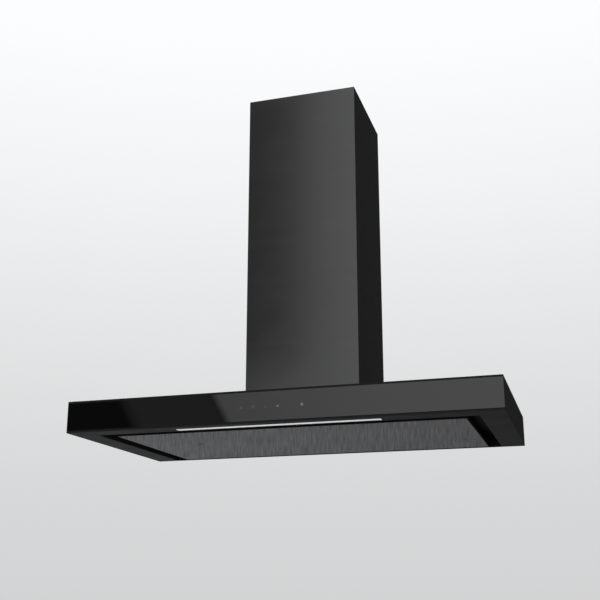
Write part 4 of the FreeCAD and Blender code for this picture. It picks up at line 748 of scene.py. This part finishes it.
class Bench:
    """Holds the loaded frame and does what every sub-assembly needs of it."""

    def __init__(self, frame: dict[str, Any]) -> None:
        """Keep the frame and work out which body each node rides on."""
        self.nodes = frame["nodes"]
        self.body_of = {
            node: body
            for body, members in frame["record"]["behaviour"]["bodies"].items()
            for node in members
        }

    def dress(self, finish: Finish, *names: str) -> None:
        """Give CAD nodes a finish in all their material slots."""
        for name in names:
            item = self.nodes[name]
            if not item.material_slots:
                item.data.materials.append(finish.material())
            for slot in item.material_slots:
                slot.material = finish.material()
            log.info("node %s: %s", name, finish.name)

    def mount(self, item: bpy.types.Object, finish: Finish, beside: str,
              replaces: bool = False) -> None:
        """Finish a new piece and let it ride with the body of a CAD node.

        Args:
            item: the piece.
            finish: its finish.
            beside: the CAD node whose body it rides on.
            replaces: whether it stands for that node.
        """
        item.data.materials.append(finish.material())
        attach(item, self.body_of[beside])
        if replaces:
            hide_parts(beside)
        log.info("piece %s: %d faces, rides on %s", item.name, len(item.data.polygons),
                 self.body_of[beside])

    @staticmethod
    def corners(name: str) -> tuple[np.ndarray, np.ndarray]:
        """Return the lowest and highest corner of a CAD node."""
        low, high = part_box(name)
        return np.array(low, float), np.array(high, float)


# --------------------------------------------------------------------------------------
# Sub-assemblies
# --------------------------------------------------------------------------------------

@dataclass
class Canopy:
    """Folded shell, front rail and the glass front with its touch marks."""

    glass_corner: float = 0.0012
    glass_edge: float = 0.0006
    mark_pitch: float = 0.02515
    mark_height: float = 0.0322
    mark_reach: float = 0.0026
    stroke: float = 0.0009
    print_depth: float = 0.00012

    def build(self, bench: Bench) -> None:
        """Dress the sheet metal and make the glass with its marks."""
        bench.dress(CANOPY_PAINT, "canopy_shell", "front_rail")
        bench.dress(ZINC, "rail_nuts")
        low, high = bench.corners("front_glass")
        face = low + np.array([0.0, self.print_depth, 0.0])
        points, faces = merged([pane(face, high, self.glass_corner, self.glass_edge)])
        glass = piece_from("glass_pane", points, faces)
        bench.mount(glass, GLASS, "front_glass", replaces=True)
        self.build_marks(bench, float(face[1]))

    def build_marks(self, bench: Bench, face: float) -> None:
        """Make the six touch marks, each a few thin strokes just above the glass.

        Args:
            bench: the bench.
            face: the depth of the glass's face.
        """
        drawings = [
            (DIM_MARK, self.power()), (DIM_MARK, self.clock()), (DIM_MARK, self.level(2)),
            (BRIGHT_MARK, self.level(3)), (FAINT_MARK, self.level(1)), (BRIGHT_MARK, self.lamp()),
        ]
        for step, (finish, strokes) in enumerate(drawings):
            middle = (step - (len(drawings) - 1) / 2) * self.mark_pitch
            parts = [self.stroke_rings(path, middle, face) for path in strokes]
            points, faces = merged(parts)
            mark = piece_from(f"touch_mark_{step + 1}", points, faces)
            bench.mount(mark, finish, "front_glass")

    def stroke_rings(self, path: np.ndarray, middle: float, face: float) -> np.ndarray:
        """Rings of one stroke, from its points (u, v) in units of the mark's reach."""
        flat = path * self.mark_reach
        points = np.stack([flat[:, 0] + middle, np.full(len(flat), face - self.print_depth / 4),
                           flat[:, 1] + self.mark_height], axis=1)
        run = np.gradient(flat, axis=0)
        run /= np.linalg.norm(run, axis=1, keepdims=True)
        side = np.stack([-run[:, 1], np.zeros(len(run)), run[:, 0]], axis=1)
        lift = np.tile([0.0, -1.0, 0.0], (len(run), 1))
        return ribbon(points, side, lift, self.stroke, self.print_depth / 3)

    @staticmethod
    def arc(radius: float, start: float, end: float, steps: int = 16) -> np.ndarray:
        """Points of a circle's arc: (radius cos a, radius sin a), a in degrees."""
        angle = np.radians(np.linspace(start, end, steps))
        return np.stack([radius * np.cos(angle), radius * np.sin(angle)], axis=1)

    def power(self) -> list[np.ndarray]:
        """Broken ring with a bar in its gap."""
        return [self.arc(0.9, 130, 410, 22), np.array([[0.0, 0.2], [0.0, 1.1]])]

    def level(self, bars: int) -> list[np.ndarray]:
        """Rising bars, one more for each fan level."""
        places = (np.arange(bars) - (bars - 1) / 2) * 0.7
        return [np.array([[place, -0.8], [place, -0.2 + 0.5 * number]])
                for number, place in enumerate(places)]

    def clock(self) -> list[np.ndarray]:
        """Ring with two hands."""
        return [self.arc(0.95, 0, 357, 22), np.array([[0.0, 0.0], [0.0, 0.65]]),
                np.array([[0.0, 0.0], [0.5, 0.0]])]

    def lamp(self) -> list[np.ndarray]:
        """Small ring with rays."""
        rays = [np.array([[0.75 * math.cos(turn), 0.75 * math.sin(turn)],
                          [1.15 * math.cos(turn), 1.15 * math.sin(turn)]])
                for turn in np.linspace(0.0, FULL_TURN, 9)[:-1]]
        return [self.arc(0.45, 0, 357, 16)] + rays


@dataclass
class FrontLight:
    """The long light: its housing, board, driver and the opal bar."""

    def build(self, bench: Bench) -> None:
        """Dress the light's nodes and the touch control behind the glass."""
        bench.dress(OPAL, "light_diffuser")
        bench.dress(BOARD, "light_board", "touch_board")
        bench.dress(DARK_PLASTIC, "light_housing", "light_driver", "touch_cover")


@dataclass
class PleatedMesh:
    """One grease filter's pack of expanded metal, folded like a fan."""

    side: str
    folds: int = 18
    strand_pitch: float = 0.0046
    cell_length: float = 0.0062
    strand_width: float = 0.0011
    strand_thickness: float = 0.0005
    swing_share: float = 0.3
    points_in_cell: int = 4
    margin: float = 0.0006

    def build(self, bench: Bench) -> None:
        """Make the strands of the expanded sheet and let them stand for the CAD pack."""
        node = f"filter_mesh_{self.side}"
        low, high = bench.corners(node)
        points, faces = merged(self.strands(low, high))
        mesh = piece_from(f"expanded_mesh_{self.side}", points, faces)
        bench.mount(mesh, MESH_METAL, node, replaces=True)

    def strands(self, low: np.ndarray, high: np.ndarray) -> list[np.ndarray]:
        """Rings of all strands.

        The sheet's height is a triangle wave of the place along X. A strand runs along X
        and swings in Y by a share of the pitch, against its neighbours on both sides, so
        that each pair comes close once in a cell.

        Args:
            low: lowest corner of the pack.
            high: highest corner of the pack.

        Returns:
            One stack of rings for each strand.
        """
        left, right = low[0] + self.margin, high[0] - self.margin
        count = int((right - left) / self.cell_length * self.points_in_cell)
        x = np.linspace(left, right, count)
        fold = (x - left) / (right - left) * self.folds
        triangle = 1.0 - np.abs((fold % 1.0) * 2.0 - 1.0)
        half = self.strand_thickness
        z = low[2] + half + (high[2] - low[2] - 2 * half) * triangle
        phase = (x - left) / self.cell_length
        swing = np.abs((phase % 1.0) * 2.0 - 1.0) * 2.0 - 1.0
        rows = int((high[1] - low[1] - 2 * self.margin) / self.strand_pitch)
        span = (high[1] - low[1] - 2 * self.margin) / rows
        places = low[1] + self.margin + span * (np.arange(rows) + 0.5)
        run = np.stack([np.gradient(x), np.zeros(count), np.gradient(z)], axis=1)
        run /= np.linalg.norm(run, axis=1, keepdims=True)
        lift = np.stack([-run[:, 2], np.zeros(count), run[:, 0]], axis=1)
        side = np.tile([0.0, 1.0, 0.0], (count, 1))
        stacks = []
        for row, place in enumerate(places):
            way = 1.0 if row % 2 else -1.0
            y = place + way * swing * span * self.swing_share
            path = np.stack([x, y, z], axis=1)
            stacks.append(ribbon(path, side, lift, self.strand_width, self.strand_thickness))
        return stacks


@dataclass
class Underside:
    """Liner, grease filters, suction panel with its hinges and catches."""

    def build(self, bench: Bench) -> None:
        """Dress the underside's nodes and make the filters' mesh."""
        bench.dress(LINER_PAINT, "liner")
        bench.dress(PANEL_COAT, "suction_panel")
        bench.dress(ZINC, "panel_stiffener", "panel_strikers", "hinge_pins")
        for side in ("left", "right"):
            bench.dress(FRAME_METAL, f"filter_frame_{side}")
            bench.dress(LATCH_PLASTIC, f"filter_latch_{side}")
            bench.dress(ZINC, f"hinge_bracket_{side}", f"hinge_leaf_{side}")
            bench.dress(MAGNET_HOLDER, f"catch_magnet_{side}")
            PleatedMesh(side).build(bench)


@dataclass
class Chimney:
    """Both covers and the upper one's wall bracket."""

    def build(self, bench: Bench) -> None:
        """Dress the covers."""
        bench.dress(CHIMNEY_PAINT, "lower_chimney", "upper_chimney")
        bench.dress(ZINC, "chimney_bracket", "bracket_screws")


@dataclass
class Blower:
    """Motor box, scroll, wheel, motor and what drives it."""

    def build(self, bench: Bench) -> None:
        """Dress the blower's nodes."""
        bench.dress(GALVANISED, "motor_box", "mounting_plate")
        bench.dress(ZINC, "box_screws", "scroll_screws", "motor_bracket", "motor_screws",
                    "capacitor_nut")
        bench.dress(SCROLL_PLASTIC, "scroll_left", "scroll_right")
        bench.dress(WHEEL_PLASTIC, "impeller", "impeller_rings", "impeller_blades")
        bench.dress(MOTOR_CAN, "motor")
        bench.dress(BRONZE, "motor_bearings")
        bench.dress(SHAFT_STEEL, "motor_shaft")
        bench.dress(RUBBER, "motor_grommets")
        bench.dress(CAPACITOR_CAN, "capacitor")


@dataclass
class Fixings:
    """Wall hooks, mains box and the duct's collar with its flaps."""

    def build(self, bench: Bench) -> None:
        """Dress the fixings."""
        for side in ("left", "right"):
            bench.dress(ZINC, f"wall_hook_{side}", f"levelling_screw_{side}")
        bench.dress(DARK_PLASTIC, "terminal_box", "terminal_lid", "cable_gland")
        bench.dress(SCROLL_PLASTIC, "outlet_collar")
        bench.dress(ZINC, "collar_screws")
        bench.dress(SHAFT_STEEL, "flap_rod")
        bench.dress(FLAP_PLASTIC, "flap_front", "flap_rear")


# --------------------------------------------------------------------------------------
# Studio
# --------------------------------------------------------------------------------------

class World:
    """The surroundings: what the camera, mirrors and soft light each see of them."""

    def __init__(self) -> None:
        """Start the world's tree and its direction coordinates."""
        world = bpy.data.worlds.new("studio")
        bpy.context.scene.world = world
        world.use_nodes = True
        self.nodes = world.node_tree.nodes
        self.links = world.node_tree.links
        self.nodes.clear()
        away = self.nodes.new("ShaderNodeSeparateXYZ")
        place = self.nodes.new("ShaderNodeTexCoord")
        self.links.new(place.outputs["Generated"], away.inputs[0])
        self.x, self.y, self.z = away.outputs

    def maths(self, operation: str, first: Any, second: Any = 0.0, third: Any = 0.0) -> Any:
        """Combine values by an operation of the Math node."""
        node = self.nodes.new("ShaderNodeMath")
        node.operation = operation
        for socket, value in zip(node.inputs, (first, second, third)):
            if isinstance(value, (int, float)):
                socket.default_value = value
            else:
                self.links.new(value, socket)
        return node.outputs[0]

    def steps(self, value: Any, stops: Stops) -> Any:
        """Return a grey ramp over 0..1 through (place, level) stops."""
        ramp = self.nodes.new("ShaderNodeValToRGB")
        elements = ramp.color_ramp.elements
        while len(elements) < len(stops):
            elements.new(0.5)
        for element, (place, level) in zip(elements, stops):
            element.position = place
            element.color = (level, level, level, 1.0)
        self.links.new(value, ramp.inputs[0])
        return ramp.outputs[0]

    def choose(self, which: Any, low: Any, high: Any) -> Any:
        """Return low where which is 0 and high where it is 1."""
        extra = self.maths("SUBTRACT", high, low)
        return self.maths("MULTIPLY_ADD", extra, which, low)


@dataclass(frozen=True)
class Lamp:
    """A square soft lamp that lights the object but doesn't show in mirrors."""

    name: str
    place: Triple
    aim: Triple
    size: float
    power: float

    def hang(self) -> None:
        """Make the lamp."""
        data = bpy.data.lights.new(self.name, "AREA")
        data.shape = "SQUARE"
        data.size = self.size
        data.energy = self.power
        lamp = bpy.data.objects.new(self.name, data)
        lamp.location = self.place
        lamp.rotation_euler = aim_at(self.place, self.aim)
        lamp.visible_glossy = False
        bpy.context.scene.collection.objects.link(lamp)


@dataclass(frozen=True)
class Viewpoint:
    """The place the photograph was taken from: low, right of the middle, looking up."""

    place: Triple = (0.5976, -1.9900, -0.3276)
    rise: float = 16.1
    turn: float = 17.0
    lens: float = 57.84
    sensor: float = 36.0
    shift: float = 0.0317

    def build(self) -> None:
        """Put the camera there and set plain view colours."""
        data = bpy.data.cameras.new("camera")
        data.lens = self.lens
        data.sensor_width = self.sensor
        data.shift_y = self.shift
        camera = bpy.data.objects.new("camera", data)
        camera.location = self.place
        camera.rotation_euler = (math.radians(90.0 + self.rise), 0.0, math.radians(self.turn))
        bpy.context.scene.collection.objects.link(camera)
        bpy.context.scene.camera = camera
        bpy.context.scene.view_settings.view_transform = "Standard"


@dataclass(frozen=True)
class MirroredRoom:
    """What mirrors see: a bright card in front, a dim band beside it, a dark left.

    In front, the place of a ray is (across, up) over the distance ahead. The card's edge
    leans by a share of up as far as the glass front sees it. Above that, where only the
    chimney sees it, the edge stands upright, a little further in, and the card is brighter.
    """

    lean: float = 0.56
    lean_top: float = 0.235
    upright_from: float = 0.225
    upright_within: float = 0.02
    edge_shift: float = 5.7
    card_gain: float = 12.0
    front: Stops = ((0.0, 0.3), (0.30, 1.7), (0.44, 1.45), (0.5122, 1.08), (0.5142, 0.21),
                    (0.5578, 0.23), (0.5598, 0.02), (0.61, 0.025), (0.70, 0.30), (0.8, 0.45),
                    (1.0, 0.5))
    behind: Stops = ((0.0, 0.85), (0.33, 0.6), (0.44, 0.03), (0.70, 0.03), (1.0, 0.4))

    def level(self, sky: World) -> Any:
        """Return the brightness for a mirrored ray."""
        ahead = sky.maths("MAXIMUM", sky.maths("MULTIPLY", sky.y, -1.0), 0.02)
        across = sky.maths("DIVIDE", sky.maths("MULTIPLY", sky.x, -1.0), ahead)
        up = sky.maths("DIVIDE", sky.z, ahead)
        leaning = sky.maths("MULTIPLY", sky.maths("MINIMUM", up, self.lean_top), self.lean)
        over = sky.maths("MAXIMUM", sky.maths("SUBTRACT", up, self.upright_from), 0.0)
        upper = sky.maths("MINIMUM", over, self.upright_within)
        shift = sky.maths("MULTIPLY", upper, self.edge_shift)
        edge = sky.maths("ADD", sky.maths("SUBTRACT", across, leaning), shift)
        card = sky.steps(sky.maths("MULTIPLY_ADD", edge, 0.4, 0.4), self.front)
        gain = sky.maths("MULTIPLY_ADD", upper, self.card_gain, 1.0)
        front = sky.maths("MULTIPLY", card, gain)
        behind = sky.steps(sky.maths("MULTIPLY_ADD", sky.x, 0.5, 0.5), self.behind)
        facing = sky.maths("GREATER_THAN", sky.maths("MULTIPLY", sky.y, -1.0), 0.0)
        return sky.choose(facing, behind, front)


@dataclass
class Studio:
    """Pale floor, soft lamps, pale surroundings and the camera."""

    floor_height: float = -0.65
    floor_radius: float = 14.0
    floor_steps: int = 96
    floor_colour: Colour = (0.66, 0.67, 0.685)
    mirrored_floor: Colour = (0.27, 0.27, 0.275)
    mirrored_reach: tuple[float, float] = (-2.3, 0.2)
    haze_colour: Colour = (0.985, 0.99, 1.0)
    haze_level: float = 0.66
    haze_reach: tuple[float, float] = (1.2, 5.0)
    soft_level: float = 0.55
    lamps: Sequence[Lamp] = (
        Lamp("key_lamp", (-1.6, -2.2, 2.2), (0.0, 0.0, 0.3), 1.6, 38.0),
        Lamp("fill_lamp", (2.2, -1.4, 1.2), (0.1, 0.0, 0.2), 1.8, 22.0),
        Lamp("rear_lamp", (0.6, 2.4, 2.0), (0.0, 0.0, 0.3), 1.6, 20.0),
    )

    def build(self) -> None:
        """Make the studio."""
        self.build_floor()
        self.build_world()
        for lamp in self.lamps:
            lamp.hang()
        Viewpoint().build()

    def build_floor(self) -> None:
        """Make a round floor that fades into the surroundings' colour at its far rim.

        Its rim is a circle: radius times (cos a, sin a).
        """
        angle = np.linspace(0.0, FULL_TURN, self.floor_steps + 1)[:-1]
        circle = np.stack([np.cos(angle), np.sin(angle), np.zeros(self.floor_steps)], axis=1)
        points = circle * self.floor_radius + np.array([0.0, 0.0, self.floor_height])
        mesh = bpy.data.meshes.new("floor")
        mesh.from_pydata(points.tolist(), [], [list(range(self.floor_steps))])
        floor = bpy.data.objects.new("floor", mesh)
        bpy.context.scene.collection.objects.link(floor)
        mesh.materials.append(self.floor_material())

    def floor_material(self) -> bpy.types.Material:
        """Return the floor's material.

        The camera sees it pale and, far away, in the haze's even light. Mirrors see it
        fall from pale at the left to dim at the right.
        """
        tree = Tree("pale_floor")
        cloud = tree.noise(0.8, detail=3.0)
        pale = tree.blend(cloud, lighter(self.floor_colour, -0.01),
                          lighter(self.floor_colour, 0.01))
        fall = tree.spread(tree.parts()[0], 0.0, 1.0, *self.mirrored_reach)
        mirrored = tree.blend(fall, self.floor_colour, self.mirrored_floor)
        rays = tree.nodes.new("ShaderNodeLightPath").outputs
        length = tree.nodes.new("ShaderNodeVectorMath")
        length.operation = "LENGTH"
        tree.join(tree.place, length.inputs[0])
        far = tree.spread(length.outputs["Value"], 0.0, 1.0, *self.haze_reach)
        haze = tree.sum(far, rays["Is Camera Ray"], "MULTIPLY")
        near = tree.blend(rays["Is Glossy Ray"], pale, mirrored)
        tree.join(tree.blend(haze, near, (0.0, 0.0, 0.0)), tree.shader.inputs["Base Color"])
        tree.shader.inputs["Emission Color"].default_value = (*self.haze_colour, 1.0)
        tree.join(tree.sum(haze, self.haze_level, "MULTIPLY"),
                  tree.shader.inputs["Emission Strength"])
        tree.fix(Roughness=0.9, Specular_IOR_Level=0.2)
        return tree.material

    def build_world(self) -> None:
        """Shape the surroundings.

        The camera sees a pale sweep, lighter upward, by the ray's height over the
        horizon. Mirrors see the mirrored room. Soft light is plain white from all round.
        """
        sky = World()
        flat = sky.maths("SQRT", sky.maths("ADD", sky.maths("MULTIPLY", sky.x, sky.x),
                                           sky.maths("MULTIPLY", sky.y, sky.y)))
        rise = sky.maths("ARCTAN2", sky.z, flat)
        height = sky.maths("MULTIPLY_ADD", rise, 1.0 / math.pi, 0.5)
        sweep = sky.steps(height, ((0.0, 0.62), (0.500, self.haze_level), (0.531, 0.692),
                                   (0.563, 0.750), (0.596, 0.819), (0.628, 0.895),
                                   (0.673, 0.982), (0.70, 1.0)))
        rays = sky.nodes.new("ShaderNodeLightPath").outputs
        glossy = sky.maths("MAXIMUM", rays["Is Glossy Ray"], rays["Is Transmission Ray"])
        soft = sky.choose(glossy, self.soft_level, MirroredRoom().level(sky))
        level = sky.choose(rays["Is Camera Ray"], soft, sweep)
        ground = sky.nodes.new("ShaderNodeBackground")
        ground.inputs["Color"].default_value = (*self.haze_colour, 1.0)
        sky.links.new(level, ground.inputs["Strength"])
        output = sky.nodes.new("ShaderNodeOutputWorld")
        sky.links.new(ground.outputs[0], output.inputs[0])


def aim_at(place: Triple, target: Triple) -> Triple:
    """Return the rotation that turns -Z from a place towards a target."""
    way = mathutils.Vector(target) - mathutils.Vector(place)
    return tuple(way.to_track_quat("-Z", "Y").to_euler())


# --------------------------------------------------------------------------------------
# Everything in order
# --------------------------------------------------------------------------------------


def main() -> None:
    """Load the frame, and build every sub-assembly and the studio."""
    logging.basicConfig(level=logging.INFO, format="%(name)s: %(message)s")
    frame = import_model()
    bench = Bench(frame)
    for part in (Canopy(), FrontLight(), Underside(), Chimney(), Blower(), Fixings()):
        part.build(bench)
    Studio().build()


if __name__ == "__main__":
    main()
